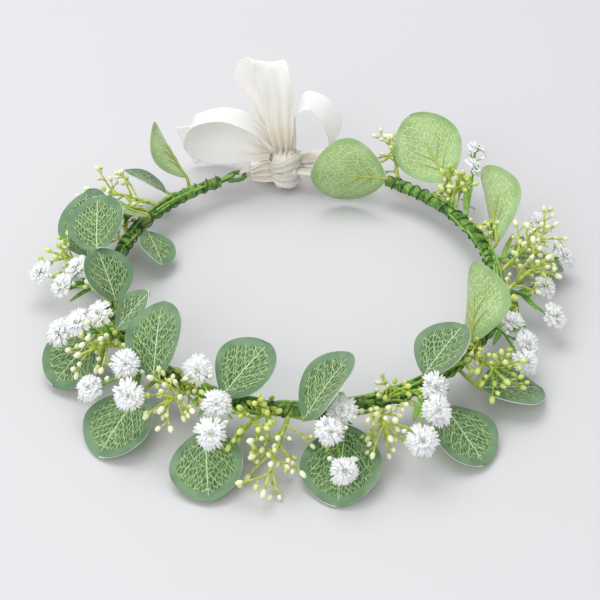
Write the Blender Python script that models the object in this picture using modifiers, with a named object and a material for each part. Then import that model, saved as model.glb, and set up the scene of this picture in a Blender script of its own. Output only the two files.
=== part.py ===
"""Flower crown: a wound wire hoop with leaves, baby's-breath picks and bud picks, tied at the back
with a satin ribbon bow that swings on the hoop's two wire eyelets.

Frame: metres, +Z up, the crown lying flat. The hoop's centre is on the Z axis, the bow is at +Y.
Angles on the hoop are in degrees, counter-clockwise from +X seen from above.
"""

import math

import bmesh
import bpy
import numpy as np
from mathutils import Euler, Matrix, Vector

# ---- Driving dimensions ------------------------------------------------------------------------

HOOP_RADIUS = 0.092          # to the wire's centreline: 56 cm inside the winding, an adult head
HOOP_HEIGHT = 0.014          # the wire's centreline above the table
WIRE_RADIUS = 0.0012
BINDING_RADIUS = 0.0033      # outside of the winding
BINDING_WALL = 0.0016
BINDING_START = 118.5        # the winding's left end, and on round the front to its right end
BINDING_END = 421.5
EYELET_LENGTH = 0.0125       # from the winding's end to the eyelet's tip
EYELET_WIDTH = 0.0072        # between the eyelet's wire centrelines
EYELET_STEPS = 12
EYELET_PHASES = (0.03, 0.86) # shares of the teardrop's outline that the wire runs between
EYELET_SWELL = 1.25          # makes the teardrop's curve as wide as EYELET_WIDTH
EYELET_CLEARANCE = 0.0012    # between the winding's end and the teardrop's start
EYELET_INSET = 0.0002        # keeps the returning wire's end clear of the winding
GAP = 0.0004                 # clearance between neighbouring pieces
LEAF_THICKNESS = 0.0008
PETIOLE_WIDTH = 0.0017
PETIOLE_SHARE = 0.3          # share of a leaf's lengthwise faces that its stalk takes
PETIOLE_REACH = 0.004        # behind the blade's base, where the stalk turns to the winding
PETIOLE_TURN = 0.6           # how far along the stalk that turn is
LEAF_FACES = (9, 4)          # lengthwise and across
LEAF_ARCH = 0.09             # how far a blade's tip drops, as a share of its length
STEM_RADIUS = 0.0008
TWIG_RADIUS = 0.00055
BUD_RADIUS = 0.0014
BUD_LENGTH = 0.0038
HEAD_RADIUS = 0.0064
HEAD_HEIGHT = 0.0050
FORK_DROP = 0.001            # a flower stem's end, below the line to its heads
STEM_RISE = 0.003            # a bud stem's middle, above the line to its tip
TWIG_START = 0.3             # share of the stem where its first twig leaves it
TWIG_SPAN = 0.6
TWIG_FORWARD = 0.9           # a twig's lean along the stem, against 1 across it
TWIG_SHORTENING = 0.45       # of the last twig against the first
RIBBON_THICKNESS = 0.0008
RIBBON_FACES_ACROSS = 2
TURN_STEPS = 6
TURN_WIDTH = 0.0022          # of the ribbon bunched in an eyelet
TURN_END_WIDTH = 0.0034
TURN_END_REACH = 0.0030      # from the wire's tip to the fold's two free ends
TURN_CLEARANCE = 0.0005      # between the wire and the fold
BOW_AXIS = (0.0, 0.0874, HOOP_HEIGHT)   # along X, through the tips of both eyelets
KNOT_CENTRE = (-0.010, 0.0945, 0.0140)
KNOT_CAGE = (0.0198, 0.0156, 0.0317)     # the cube that the subdivision rounds to the knot
TAIL_LEFT_HINGE = (-0.018, 0.100, 0.014)
TAIL_BACK_HINGE = (-0.014, 0.100, 0.004)
GOLDEN_ANGLE = math.radians(137.5)
HOOP_SEGMENTS = 36
OCTAGON_TURN = math.radians(22.5)   # sets one flat of the eight-sided winding level underneath

# ---- Layout: hoop angles in degrees, offsets from the wire's centreline in metres ----------------

# blade base: hoop angle, out, up; then swing from the outward radius, climb, turn about the midrib,
# length, width, fold of the two halves (all angles in degrees)
LEAVES = {
    "leaf_01": (130, 0.004, 0.007, 19, 50, -150, 0.033, 0.027, 22),
    "leaf_02": (136, 0.009, 0.001, 22, 24, 25, 0.024, 0.020, 10),
    "leaf_03": (175, 0.013, 0.005, -76, 28, -34, 0.037, 0.032, 8),
    "leaf_04": (180, 0.006, 0.014, -84, 28, -22, 0.031, 0.030, 10),
    "leaf_05": (155, -0.006, 0.009, 14, 12, -155, 0.020, 0.013, 16),
    "leaf_06": (156, -0.006, 0.000, 141, -12, -28, 0.022, 0.021, 12),
    "leaf_07": (198, -0.001, 0.007, -83, 46, 25, 0.026, 0.026, 10),
    "leaf_08": (211, 0.005, 0.009, -176, 42, -14, 0.022, 0.022, 12),
    "leaf_09": (232, 0.012, 0.009, -145, 40, -30, 0.034, 0.030, 12),
    "leaf_10": (205, 0.009, 0.004, 25, -19, 2, 0.034, 0.033, 6),
    "leaf_11": (229, 0.015, 0.000, 8, -17, 6, 0.033, 0.033, 6),
    "leaf_12": (250, 0.007, 0.010, 152, 34, -4, 0.029, 0.031, 10),
    "leaf_13": (248, 0.018, -0.001, 26, -14, 12, 0.032, 0.031, 6),
    "leaf_14": (270, 0.013, 0.008, 135, 43, -25, 0.033, 0.031, 14),
    "leaf_15": (280, 0.008, -0.002, -17, -12, 8, 0.037, 0.034, 6),
    "leaf_16": (303, 0.002, 0.008, 102, 36, -20, 0.028, 0.029, 12),
    "leaf_17": (304, 0.014, -0.001, -1, -14, -8, 0.031, 0.030, 6),
    "leaf_18": (316, 0.016, -0.003, 60, -10, -4, 0.030, 0.029, 6),
    "leaf_19": (322, 0.002, 0.008, 119, 42, 122, 0.036, 0.032, 26),
    "leaf_20": (11, 0.005, 0.006, 81, 29, 108, 0.041, 0.032, 26),
    "leaf_21": (42, 0.009, 0.009, 78, 27, 150, 0.041, 0.036, 8),
    "leaf_22": (59, -0.0085, 0.008, 114, 2, 98, 0.039, 0.036, 22),
    "leaf_23": (7, 0.013, -0.002, 20, -12, -5, 0.027, 0.029, 6),
}

# root's hoop angle, then each head's centre: hoop angle, out, up
FLOWER_PICKS = {
    "flower_pick_01": (150, ((158, 0.020, 0.016),)),
    "flower_pick_02": (188, ((181, 0.035, 0.004), (185, 0.016, 0.012), (191, 0.023, 0.012))),
    "flower_pick_03": (211, ((207, 0.030, 0.012), (209, 0.022, 0.018), (211, 0.013, 0.022))),
    "flower_pick_04": (221, ((222, 0.032, 0.005), (228, 0.020, 0.019), (234, 0.031, 0.016))),
    "flower_pick_05": (246, ((242, 0.004, 0.017), (251, 0.018, 0.016), (252, 0.031, 0.012))),
    "flower_pick_06": (276, ((278, 0.017, 0.016), (275, 0.027, 0.015), (277, 0.039, 0.004))),
    "flower_pick_07": (300, ((300, 0.017, 0.016), (297, 0.028, 0.015), (292, 0.035, 0.009))),
    "flower_pick_08": (336, ((334, 0.013, 0.009), (331, 0.022, 0.005), (326, 0.026, 0.004))),
    "flower_pick_09": (353, ((353, 0.023, 0.005), (345, 0.029, 0.001))),
    "flower_pick_10": (7, ((7, 0.038, 0.000), (15, 0.031, 0.009))),
    "flower_pick_11": (29, ((42, 0.031, 0.020), (38, 0.022, 0.016))),
}

# root's hoop angle; tip's hoop angle, out, up; twig reach; number of twigs; phase in degrees
BUD_PICKS = {
    "bud_pick_01": (143, 151, 0.034, 0.008, 0.011, 5, 20),
    "bud_pick_02": (165, 166, 0.006, 0.010, 0.006, 4, 80),
    "bud_pick_03": (182, 172, 0.034, 0.001, 0.010, 5, 140),
    "bud_pick_04": (213, 215, 0.026, 0.010, 0.010, 5, 60),
    "bud_pick_05": (239, 240, 0.024, 0.010, 0.010, 5, 40),
    "bud_pick_06": (261, 257, 0.020, 0.006, 0.010, 5, 100),
    "bud_pick_07": (266, 263, 0.040, -0.006, 0.011, 6, 50),
    "bud_pick_08": (288, 287, 0.026, 0.006, 0.011, 6, 130),
    "bud_pick_09": (322, 318, 0.024, 0.004, 0.010, 5, 30),
    "bud_pick_10": (349, 357, 0.022, 0.014, 0.010, 5, 75),
    "bud_pick_11": (0, 7, 0.029, 0.018, 0.010, 6, 160),
    "bud_pick_12": (36, 38, 0.010, 0.013, 0.007, 5, 15),
    "bud_pick_13": (58, 65, 0.021, 0.012, 0.009, 5, 110),
}

# ---- Materials: colour, roughness, metallic ------------------------------------------------------

FINISHES = {
    "wire": ((0.23, 0.33, 0.14), 0.5, 0.3),
    "binding": ((0.13, 0.24, 0.06), 0.7, 0.0),
    "leaf": ((0.14, 0.27, 0.13), 0.55, 0.0),
    "flower": ((0.86, 0.88, 0.84), 0.8, 0.0),
    "bud": ((0.62, 0.70, 0.24), 0.5, 0.0),
    "satin": ((0.88, 0.85, 0.76), 0.35, 0.0),
}


def clear_scene():
    """Removes every object, so the script always starts from an empty scene."""
    for obj in list(bpy.data.objects):
        bpy.data.objects.remove(obj, do_unlink=True)


def new_collection(name):
    collection = bpy.data.collections.new(name)
    bpy.context.scene.collection.children.link(collection)
    return collection


def material(finish, name):
    """One Principled material per piece, from the finish's colour, roughness and metallic."""
    colour, roughness, metallic = FINISHES[finish]
    made = bpy.data.materials.new(name)
    made.use_nodes = True
    shader = made.node_tree.nodes["Principled BSDF"]
    shader.inputs["Base Color"].default_value = (*colour, 1.0)
    shader.inputs["Roughness"].default_value = roughness
    shader.inputs["Metallic"].default_value = metallic
    return made


def add_part(name, data, finish, parent=None):
    """A named part in the crown's collection, placed under its joint's empty if it has one."""
    obj = bpy.data.objects.new(name, data)
    parts.objects.link(obj)
    obj.data.materials.append(material(finish, name))
    if parent:
        obj.parent = parent
        obj.matrix_parent_inverse = Matrix.Translation(parent.location).inverted()
    return obj


def on_hoop(angle, out=0.0, up=0.0):
    """A point by hoop angle, offset outward and upward from the wire's centreline."""
    a = math.radians(angle)
    radius = HOOP_RADIUS + out
    return Vector((radius * math.cos(a), radius * math.sin(a), HOOP_HEIGHT + up))


def root_on_binding(angle, towards, clearance):
    """The point just off the winding at this hoop angle, on the side that faces a target."""
    centre = on_hoop(angle)
    tangent = Vector((-math.sin(math.radians(angle)), math.cos(math.radians(angle)), 0.0))
    side = towards - centre
    side -= tangent * side.dot(tangent)
    return centre + side.normalized() * (BINDING_RADIUS + clearance)


def bezier(points, t):
    """A point on the Bezier curve of any degree through its control points (De Casteljau)."""
    points = [Vector(p) for p in points]
    while len(points) > 1:
        points = [a.lerp(b, t) for a, b in zip(points, points[1:])]
    return points[0]


def wire_curve(name, points, radius, caps=True, tilt=0.0, resolution=2):
    """A round wire or tube: a POLY curve with a bevel, of eight sides, or six at resolution 1."""
    data = bpy.data.curves.new(name, "CURVE")
    data.dimensions = "3D"
    data.twist_mode = "Z_UP"
    data.bevel_depth = radius
    data.bevel_resolution = resolution
    data.use_fill_caps = caps
    spline = data.splines.new("POLY")
    spline.points.add(len(points) - 1)
    for slot, point in zip(spline.points, points):
        slot.co = (*point, 1.0)
        slot.tilt = tilt
    return data


def mesh_from_curve(name, data):
    """The curve's evaluated surface as a mesh, with its caps welded on."""
    guide = bpy.data.objects.new(name + "_guide", data)
    parts.objects.link(guide)
    bpy.context.view_layer.update()
    evaluated = guide.evaluated_get(bpy.context.evaluated_depsgraph_get())
    mesh = bpy.data.meshes.new_from_object(evaluated)
    bpy.data.objects.remove(guide, do_unlink=True)
    bm = bmesh.new()
    bm.from_mesh(mesh)
    bmesh.ops.remove_doubles(bm, verts=bm.verts, dist=0.00001)
    bmesh.ops.recalc_face_normals(bm, faces=bm.faces)
    bm.to_mesh(mesh)
    bm.free()
    mesh.name = name
    return mesh


def solidify(obj, thickness):
    """Gives a sheet its thickness, half on each side."""
    shell = obj.modifiers.new("Thickness", "SOLIDIFY")
    shell.thickness = thickness
    shell.offset = 0.0


def grid_mesh(name, place, lengthwise, across):
    """A grid whose vertices are put at place(u, v): u runs 0 to 1 lengthwise, v runs -1 to 1 across."""
    bm = bmesh.new()
    bmesh.ops.create_grid(bm, x_segments=lengthwise, y_segments=across, size=1.0)
    for vertex in bm.verts:
        vertex.co = place((vertex.co.x + 1.0) / 2.0, vertex.co.y)
    mesh = bpy.data.meshes.new(name)
    bm.to_mesh(mesh)
    bm.free()
    return mesh


# ---- Hoop -----------------------------------------------------------------------------------------

def eyelet(end_angle, turn_way):
    """Points of the teardrop that the wire makes past the winding's end, ending beside the wire."""
    base = on_hoop(end_angle)
    a = math.radians(end_angle)
    along = Vector((-math.sin(a), math.cos(a), 0.0)) * turn_way
    inward = Vector((-math.cos(a), -math.sin(a), 0.0))
    half = EYELET_WIDTH / 2.0
    points = []
    first, last = EYELET_PHASES
    for step in range(EYELET_STEPS + 1):
        phi = math.tau * (first + (last - first) * step / EYELET_STEPS)
        reach = EYELET_LENGTH * (1.0 - math.cos(phi)) / 2.0 + EYELET_CLEARANCE
        swell = half * math.sin(phi) * math.sin(phi / 2.0) * EYELET_SWELL
        points.append(base + along * reach - inward * (swell - EYELET_INSET))
    return points


def build_hoop():
    """The core wire with an eyelet at each end, and the hollow winding round it."""
    steps = range(HOOP_SEGMENTS + 1)
    span = BINDING_END - BINDING_START
    arc = [on_hoop(BINDING_START + span * step / HOOP_SEGMENTS) for step in steps]
    left = eyelet(BINDING_START, -1.0)
    right = eyelet(BINDING_END, 1.0)
    wire = wire_curve("hoop_wire", left[::-1] + arc + right, WIRE_RADIUS)
    add_part("hoop_wire", wire, "wire")
    middle = BINDING_RADIUS - BINDING_WALL / 2.0
    tube = mesh_from_curve("hoop_binding", wire_curve("hoop_binding", arc, middle, caps=False,
                                                      tilt=OCTAGON_TURN))
    binding = add_part("hoop_binding", tube, "binding")
    solidify(binding, BINDING_WALL)


# ---- Leaves ---------------------------------------------------------------------------------------

def blade_half_width(u):
    """Half the blade's width along its length, as a share of the full width: round and egg-shaped."""
    return 0.5 * math.sin(math.pi * u ** 0.8) ** 0.62


def build_leaf(name, angle, out, up, swing, climb, turn, length, width, fold):
    """A cupped, arched blade on a narrow stalk that runs back to the winding, as one thin sheet."""
    leaf = add_part(name, bpy.data.meshes.new(name), "leaf")
    leaf.location = on_hoop(angle, out, up)
    leaf.rotation_euler = Euler((math.radians(turn), math.radians(-climb), math.radians(angle + swing)))
    placed = Matrix.LocRotScale(leaf.location, leaf.rotation_euler, None)
    root = placed.inverted() @ root_on_binding(angle, leaf.location, GAP + LEAF_THICKNESS)
    reach = min(PETIOLE_REACH, root.length / 2.0)
    stalk = [root, root.lerp(Vector((-reach, 0.0, 0.0)), PETIOLE_TURN), Vector()]
    rise = math.tan(math.radians(fold))

    def place(u, v):
        if u < PETIOLE_SHARE - 0.01:
            spot = bezier(stalk, u / PETIOLE_SHARE)
            ahead = bezier(stalk, u / PETIOLE_SHARE + 0.02)
            side = Vector((0.0, 0.0, 1.0)).cross(ahead - spot)
            return spot + side.normalized() * v * PETIOLE_WIDTH / 2.0
        s = (u - PETIOLE_SHARE) / (1.0 - PETIOLE_SHARE)
        half = max(width * blade_half_width(0.02 + 0.96 * s), PETIOLE_WIDTH / 2.0)
        y = v * half
        lift = rise * y * y / (width / 2.0)
        return Vector((length * s, y, lift - LEAF_ARCH * length * s * s))

    leaf.data = grid_mesh(name, place, *LEAF_FACES)
    leaf.data.materials.append(bpy.data.materials[name])
    solidify(leaf, LEAF_THICKNESS)


# ---- Picks ----------------------------------------------------------------------------------------

# each ring's radius, and its height as a share of the bud's or the head's own height
BUD_RINGS = ((BUD_RADIUS, 0.35), (BUD_RADIUS * 0.75, 0.8))
HEAD_RINGS = ((HEAD_RADIUS, 0.45), (HEAD_RADIUS * 0.7, 0.85))


def turned_cage(bm, rings, crown_height, sides, start, end):
    """A sphere's rings drawn out along a line: a straight stalk to its end, then a bud or a head."""
    axis = end - start
    turn = Vector((0.0, 0.0, 1.0)).rotation_difference(axis).to_matrix()
    levels = [(0.0, -TWIG_RADIUS * 0.3), (TWIG_RADIUS, 0.0), (TWIG_RADIUS, axis.length)]
    levels += [(radius, axis.length + crown_height * share) for radius, share in rings]
    levels.append((0.0, axis.length + crown_height))
    made = bmesh.ops.create_uvsphere(bm, u_segments=sides, v_segments=len(levels) - 1, radius=1.0)
    for vertex in made["verts"]:
        polar = math.acos(max(-1.0, min(1.0, -vertex.co.z))) / math.pi
        radius, height = levels[round(polar * (len(levels) - 1))]
        local = Vector((vertex.co.x, vertex.co.y, 0.0)).normalized() * radius
        local.z = height
        vertex.co = start + turn @ local


def build_pick(name, stem, branches, rings, crown_height, sides, finish):
    """One stem from the winding, joined with its branches: each a stalk that ends in a bud or a head."""
    tube = mesh_from_curve(name, wire_curve(name, stem, STEM_RADIUS, resolution=1))
    pick = add_part(name, tube, finish)
    bm = bmesh.new()
    for start, end in branches:
        turned_cage(bm, rings, crown_height, sides, start, end)
    mesh = bpy.data.meshes.new(name + "_branches")
    bm.to_mesh(mesh)
    bm.free()
    tool = bpy.data.objects.new(name + "_branches", mesh)
    tools.objects.link(tool)
    tool.hide_render = True
    tool.display_type = "WIRE"
    join = pick.modifiers.new("Branches", "BOOLEAN")
    join.operation = "UNION"
    join.object = tool
    join.use_self = True


def build_flower_pick(name, root_angle, heads):
    """A stem from the winding, and a stalk off it to each baby's-breath head."""
    centres = [on_hoop(*head) for head in heads]
    middle = sum(centres, Vector()) / len(centres)
    root = root_on_binding(root_angle, middle, GAP + STEM_RADIUS)
    fork = root.lerp(middle, 0.5) - Vector((0.0, 0.0, FORK_DROP))
    stem = [bezier([root, root.lerp(fork, 0.5), fork], t / 5.0) for t in range(6)]
    branches = []
    for index, centre in enumerate(centres):
        start = stem[-1 - index] if index else stem[-1].lerp(stem[-2], 0.4)
        reach = centre - start
        branches.append((start, centre - reach.normalized() * HEAD_HEIGHT * 0.5))
    build_pick(name, stem, branches, HEAD_RINGS, HEAD_HEIGHT, 8, "flower")


def build_bud_pick(name, root_angle, tip_angle, out, up, reach, twigs, phase):
    """A moulded spray: one arched stem, with budded twigs set round it by the golden angle."""
    tip = on_hoop(tip_angle, out, up)
    root = root_on_binding(root_angle, tip, GAP + STEM_RADIUS)
    path = [root, root.lerp(tip, 0.5) + Vector((0.0, 0.0, STEM_RISE)), tip]
    stem = [bezier(path, t / 6.0) for t in range(7)]
    forward = (tip - root).normalized()
    side = forward.cross(Vector((0.0, 0.0, 1.0))).normalized()
    over = side.cross(forward)
    branches = [(stem[-1].lerp(stem[-2], 0.5), tip + forward * 0.001)]
    for k in range(twigs):
        a = math.radians(phase) + GOLDEN_ANGLE * k
        way = (forward * TWIG_FORWARD + side * math.cos(a) + over * math.sin(a)).normalized()
        start = bezier(path, TWIG_START + TWIG_SPAN * k / twigs)
        branches.append((start, start + way * reach * (1.0 - TWIG_SHORTENING * k / twigs)))
    build_pick(name, stem, branches, BUD_RINGS, BUD_LENGTH, 4, "bud")


# ---- Ribbon ---------------------------------------------------------------------------------------

# centreline points, the ribbon's width there, and the direction that its width runs in
RIBBON_STRIPS = {
    "ribbon_strap_left": ("bow", 6, (
        ((-0.0270, 0.0885, 0.0140), 0.0070, (0.0, 0.1, 1.0)),
        ((-0.0225, 0.0905, 0.0135), 0.0110, (0.0, 0.2, 1.0)),
        ((-0.0188, 0.0925, 0.0125), 0.0130, (0.0, 0.2, 1.0)))),
    "ribbon_strap_right": ("bow", 10, (
        ((0.0270, 0.0880, 0.0140), 0.0050, (0.0, 1.0, -0.8)),
        ((0.0140, 0.0900, 0.0125), 0.0070, (0.0, 1.0, -0.8)),
        ((0.0000, 0.0935, 0.0120), 0.0080, (0.0, 1.0, -0.5)))),
    "ribbon_loop_left": ("bow", 22, (
        ((-0.0170, 0.0950, 0.0290), 0.0090, (0.1, 1.0, 0.0)),
        ((-0.0255, 0.0965, 0.0395), 0.0175, (0.0, 1.0, -0.25)),
        ((-0.0420, 0.1000, 0.0440), 0.0240, (0.0, 1.0, -0.45)),
        ((-0.0575, 0.1000, 0.0400), 0.0250, (0.15, 1.0, -0.2)),
        ((-0.0615, 0.1005, 0.0320), 0.0250, (0.2, 1.0, 0.25)),
        ((-0.0520, 0.1020, 0.0250), 0.0240, (0.1, 1.0, 0.9)),
        ((-0.0350, 0.1005, 0.0240), 0.0190, (0.0, 1.0, 0.7)),
        ((-0.0205, 0.0955, 0.0230), 0.0090, (0.0, 1.0, 0.2)))),
    "ribbon_loop_right": ("bow", 22, (
        ((-0.0045, 0.0985, 0.0290), 0.0080, (0.0, 1.0, 0.0)),
        ((-0.0050, 0.1020, 0.0400), 0.0180, (0.2, 1.0, 0.0)),
        ((0.0020, 0.1050, 0.0480), 0.0230, (0.2, 1.0, 0.0)),
        ((0.0120, 0.1060, 0.0420), 0.0240, (0.3, 1.0, 0.0)),
        ((0.0170, 0.1060, 0.0290), 0.0240, (0.3, 1.0, 0.0)),
        ((0.0125, 0.1040, 0.0170), 0.0200, (0.2, 1.0, 0.0)),
        ((0.0015, 0.0985, 0.0160), 0.0080, (0.0, 1.0, 0.0)))),
    "ribbon_loop_top": ("bow", 22, (
        ((-0.0120, 0.0920, 0.0295), 0.0090, (1.0, 0.0, 0.0)),
        ((-0.0125, 0.0900, 0.0450), 0.0150, (1.0, 0.15, 0.0)),
        ((-0.0145, 0.0910, 0.0640), 0.0175, (1.0, 0.2, -0.15)),
        ((-0.0190, 0.0970, 0.0760), 0.0205, (1.0, 0.25, -0.35)),
        ((-0.0260, 0.1070, 0.0655), 0.0200, (1.0, 0.4, -0.1)),
        ((-0.0205, 0.1130, 0.0475), 0.0170, (1.0, 0.1, 0.0)),
        ((-0.0118, 0.1015, 0.0280), 0.0080, (1.0, 0.0, 0.0)))),
    "ribbon_tail_left": ("tail_left", 14, (
        ((-0.0200, 0.1020, 0.0140), 0.0100, (0.0, 0.0, 1.0)),
        ((-0.0300, 0.1130, 0.0165), 0.0180, (0.0, 0.0, 1.0)),
        ((-0.0460, 0.1175, 0.0150), 0.0235, (0.0, 0.0, 1.0)),
        ((-0.0660, 0.1155, 0.0140), 0.0240, (-0.3, 0.0, 1.0)))),
    "ribbon_tail_back": ("tail_back", 12, (
        ((-0.0140, 0.1022, 0.0045), 0.0110, (1.0, 0.0, 0.0)),
        ((-0.0165, 0.1080, 0.0018), 0.0200, (1.0, 0.0, 0.0)),
        ((-0.0180, 0.1200, 0.0010), 0.0240, (1.0, 0.0, 0.0)),
        ((-0.0185, 0.1335, 0.0010), 0.0245, (1.0, 0.1, 0.0)))),
}


def smooth(rows, t):
    """A value along hand-set rows, by Catmull-Rom through every row; t runs 0 to 1."""
    rows = np.array(rows, dtype=float)
    rows = np.vstack([2 * rows[0] - rows[1], rows, 2 * rows[-1] - rows[-2]])
    at = t * (len(rows) - 3)
    k = min(int(at), len(rows) - 4)
    f = at - k
    a, b, c, d = rows[k:k + 4]
    return 0.5 * (2 * b + (c - a) * f + (2 * a - 5 * b + 4 * c - d) * f ** 2
                  + (3 * b - a - 3 * c + d) * f ** 3)


def build_strip(name, lengthwise, stations, parent=None):
    """A strip of ribbon of varying width along a smooth centreline."""
    centres = [row[0] for row in stations]
    widths = [(row[1],) for row in stations]
    ways = [row[2] for row in stations]

    def place(u, v):
        along = Vector(smooth(centres, min(u + 0.01, 1.0)) - smooth(centres, max(u - 0.01, 0.0)))
        way = Vector(smooth(ways, u))
        way -= along * way.dot(along) / along.length_squared
        return Vector(smooth(centres, u)) + way.normalized() * v * float(smooth(widths, u)[0]) / 2.0

    mesh = grid_mesh(name, place, lengthwise, RIBBON_FACES_ACROSS)
    strip = add_part(name, mesh, "satin", parent)
    solidify(strip, RIBBON_THICKNESS)


def build_turn(name, side):
    """The ribbon's fold through an eyelet: round the wire's tip, open towards the knot."""
    a = math.radians(BINDING_START)
    along = Vector((-side * math.sin(a), -math.cos(a), 0.0))
    across = Vector((along.y, -along.x, 0.0))
    tip = on_hoop(BINDING_START if side < 0 else BINDING_END)
    tip += along * (EYELET_LENGTH + WIRE_RADIUS)
    fold_radius = WIRE_RADIUS + TURN_CLEARANCE + RIBBON_THICKNESS / 2.0
    fold = [(along * TURN_END_REACH + Vector((0.0, 0.0, fold_radius)), TURN_END_WIDTH)]
    for step in range(TURN_STEPS + 1):
        phi = math.pi * step / TURN_STEPS
        bend = Vector((0.0, 0.0, math.cos(phi))) - along * math.sin(phi)
        fold.append((bend * fold_radius, TURN_WIDTH))
    fold.append((along * TURN_END_REACH - Vector((0.0, 0.0, fold_radius)), TURN_END_WIDTH))
    stations = [(tip + offset, width, across) for offset, width in fold]
    build_strip(name, 2 * TURN_STEPS, stations)


def joint_empty(name, place, parent=None):
    """An empty on a joint's axis, which the moving pieces hang under."""
    empty = bpy.data.objects.new(name, None)
    parts.objects.link(empty)
    empty.location = place
    if parent:
        empty.parent = parent
        empty.matrix_parent_inverse = Matrix.Translation(parent.location).inverted()
    return empty


def build_ribbon():
    """The satin ribbon: a fold through each eyelet, and the bow and its two tails on their hinges."""
    bow = joint_empty("bow_swing_axis", BOW_AXIS)
    hinges = {
        "bow": bow,
        "tail_left": joint_empty("tail_left_axis", TAIL_LEFT_HINGE, bow),
        "tail_back": joint_empty("tail_back_axis", TAIL_BACK_HINGE, bow),
    }
    build_turn("ribbon_turn_left", -1)
    build_turn("ribbon_turn_right", 1)
    for name, (body, lengthwise, stations) in RIBBON_STRIPS.items():
        build_strip(name, lengthwise, stations, hinges[body])
    bm = bmesh.new()
    bmesh.ops.create_cube(bm, size=1.0)
    for vertex in bm.verts:
        vertex.co = [share * side for share, side in zip(vertex.co, KNOT_CAGE)]
    mesh = bpy.data.meshes.new("ribbon_knot")
    bm.to_mesh(mesh)
    bm.free()
    knot = add_part("ribbon_knot", mesh, "satin", bow)
    knot.location = KNOT_CENTRE
    rounded = knot.modifiers.new("Rounded", "SUBSURF")
    rounded.levels = 2
    rounded.render_levels = 2


# ---- Build ----------------------------------------------------------------------------------------

clear_scene()
parts = new_collection("flower_crown")
tools = new_collection("cutters")
build_hoop()
build_ribbon()
for leaf_name, row in LEAVES.items():
    build_leaf(leaf_name, *row)
for pick_name, (pick_root, pick_heads) in FLOWER_PICKS.items():
    build_flower_pick(pick_name, pick_root, pick_heads)
for pick_name, row in BUD_PICKS.items():
    build_bud_pick(pick_name, *row)
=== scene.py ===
# %% [markdown]
# # A flower crown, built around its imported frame
#
# The crown is a wire hoop wound in green tape. Artificial eucalyptus leaves, baby's-breath picks and
# bud sprays are bound to it, and a satin ribbon ties its two ends with a bow at the back. The frame
# gives the places of all parts and how the bow and its tails move. This lesson rebuilds each visible
# surface at full detail around that frame. Everything is in metres, +Z up, the bow at +Y.

# %% The frame
import math

import bpy
import numpy as np
from mathutils import Matrix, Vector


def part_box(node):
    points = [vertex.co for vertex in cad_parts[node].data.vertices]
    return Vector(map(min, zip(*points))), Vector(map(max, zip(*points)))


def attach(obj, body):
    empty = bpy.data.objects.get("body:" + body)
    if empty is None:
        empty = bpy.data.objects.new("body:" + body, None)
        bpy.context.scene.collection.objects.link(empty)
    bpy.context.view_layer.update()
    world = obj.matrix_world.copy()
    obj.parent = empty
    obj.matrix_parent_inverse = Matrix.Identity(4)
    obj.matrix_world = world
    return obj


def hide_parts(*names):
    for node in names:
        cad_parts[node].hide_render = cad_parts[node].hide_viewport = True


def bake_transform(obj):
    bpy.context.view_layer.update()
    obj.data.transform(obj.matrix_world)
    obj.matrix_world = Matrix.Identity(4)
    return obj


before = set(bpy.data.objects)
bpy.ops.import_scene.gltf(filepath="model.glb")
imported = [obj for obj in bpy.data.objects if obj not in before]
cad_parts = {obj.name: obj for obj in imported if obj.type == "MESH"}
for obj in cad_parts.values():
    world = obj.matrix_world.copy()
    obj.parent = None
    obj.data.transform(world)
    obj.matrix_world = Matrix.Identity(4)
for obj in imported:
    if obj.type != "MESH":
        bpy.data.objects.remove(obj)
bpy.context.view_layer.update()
rng = np.random.default_rng(7)

# %% [markdown]
# ## Two small mesh tools
#
# Every new surface here is a grid of points worked out with numpy, so one function turns grids into
# quads and another puts any number of such surfaces into one mesh. Numbers that a material needs,
# such as how far a point is along a leaf, go with the points as attributes.


# %% Grids and tubes as arrays
def unit(v):
    """Vectors scaled to length one along their last axis."""
    v = np.asarray(v, float)
    return v / np.maximum(np.linalg.norm(v, axis=-1, keepdims=True), 1e-12)


def grid_quads(rows, columns, wrap=False):
    """Corner numbers of the quads of a grid of rows x columns points, closed across if wrap is set."""
    i = np.arange(rows - 1)[:, None]
    j = np.arange(columns if wrap else columns - 1)[None, :]
    k = (j + 1) % columns
    corners = (i * columns + j, (i + 1) * columns + j, (i + 1) * columns + k, i * columns + k)
    return np.stack(corners, axis=-1).reshape(-1, 4)


def surface(points, **tones):
    """A sheet from points of shape (rows, columns, 3), with one tone value or one per point."""
    points = np.asarray(points, float)
    rows, columns = points.shape[:2]
    spread = {key: np.broadcast_to(value, (rows, columns)).ravel() for key, value in tones.items()}
    return points.reshape(-1, 3), grid_quads(rows, columns), np.zeros((0, 3), int), spread


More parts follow.
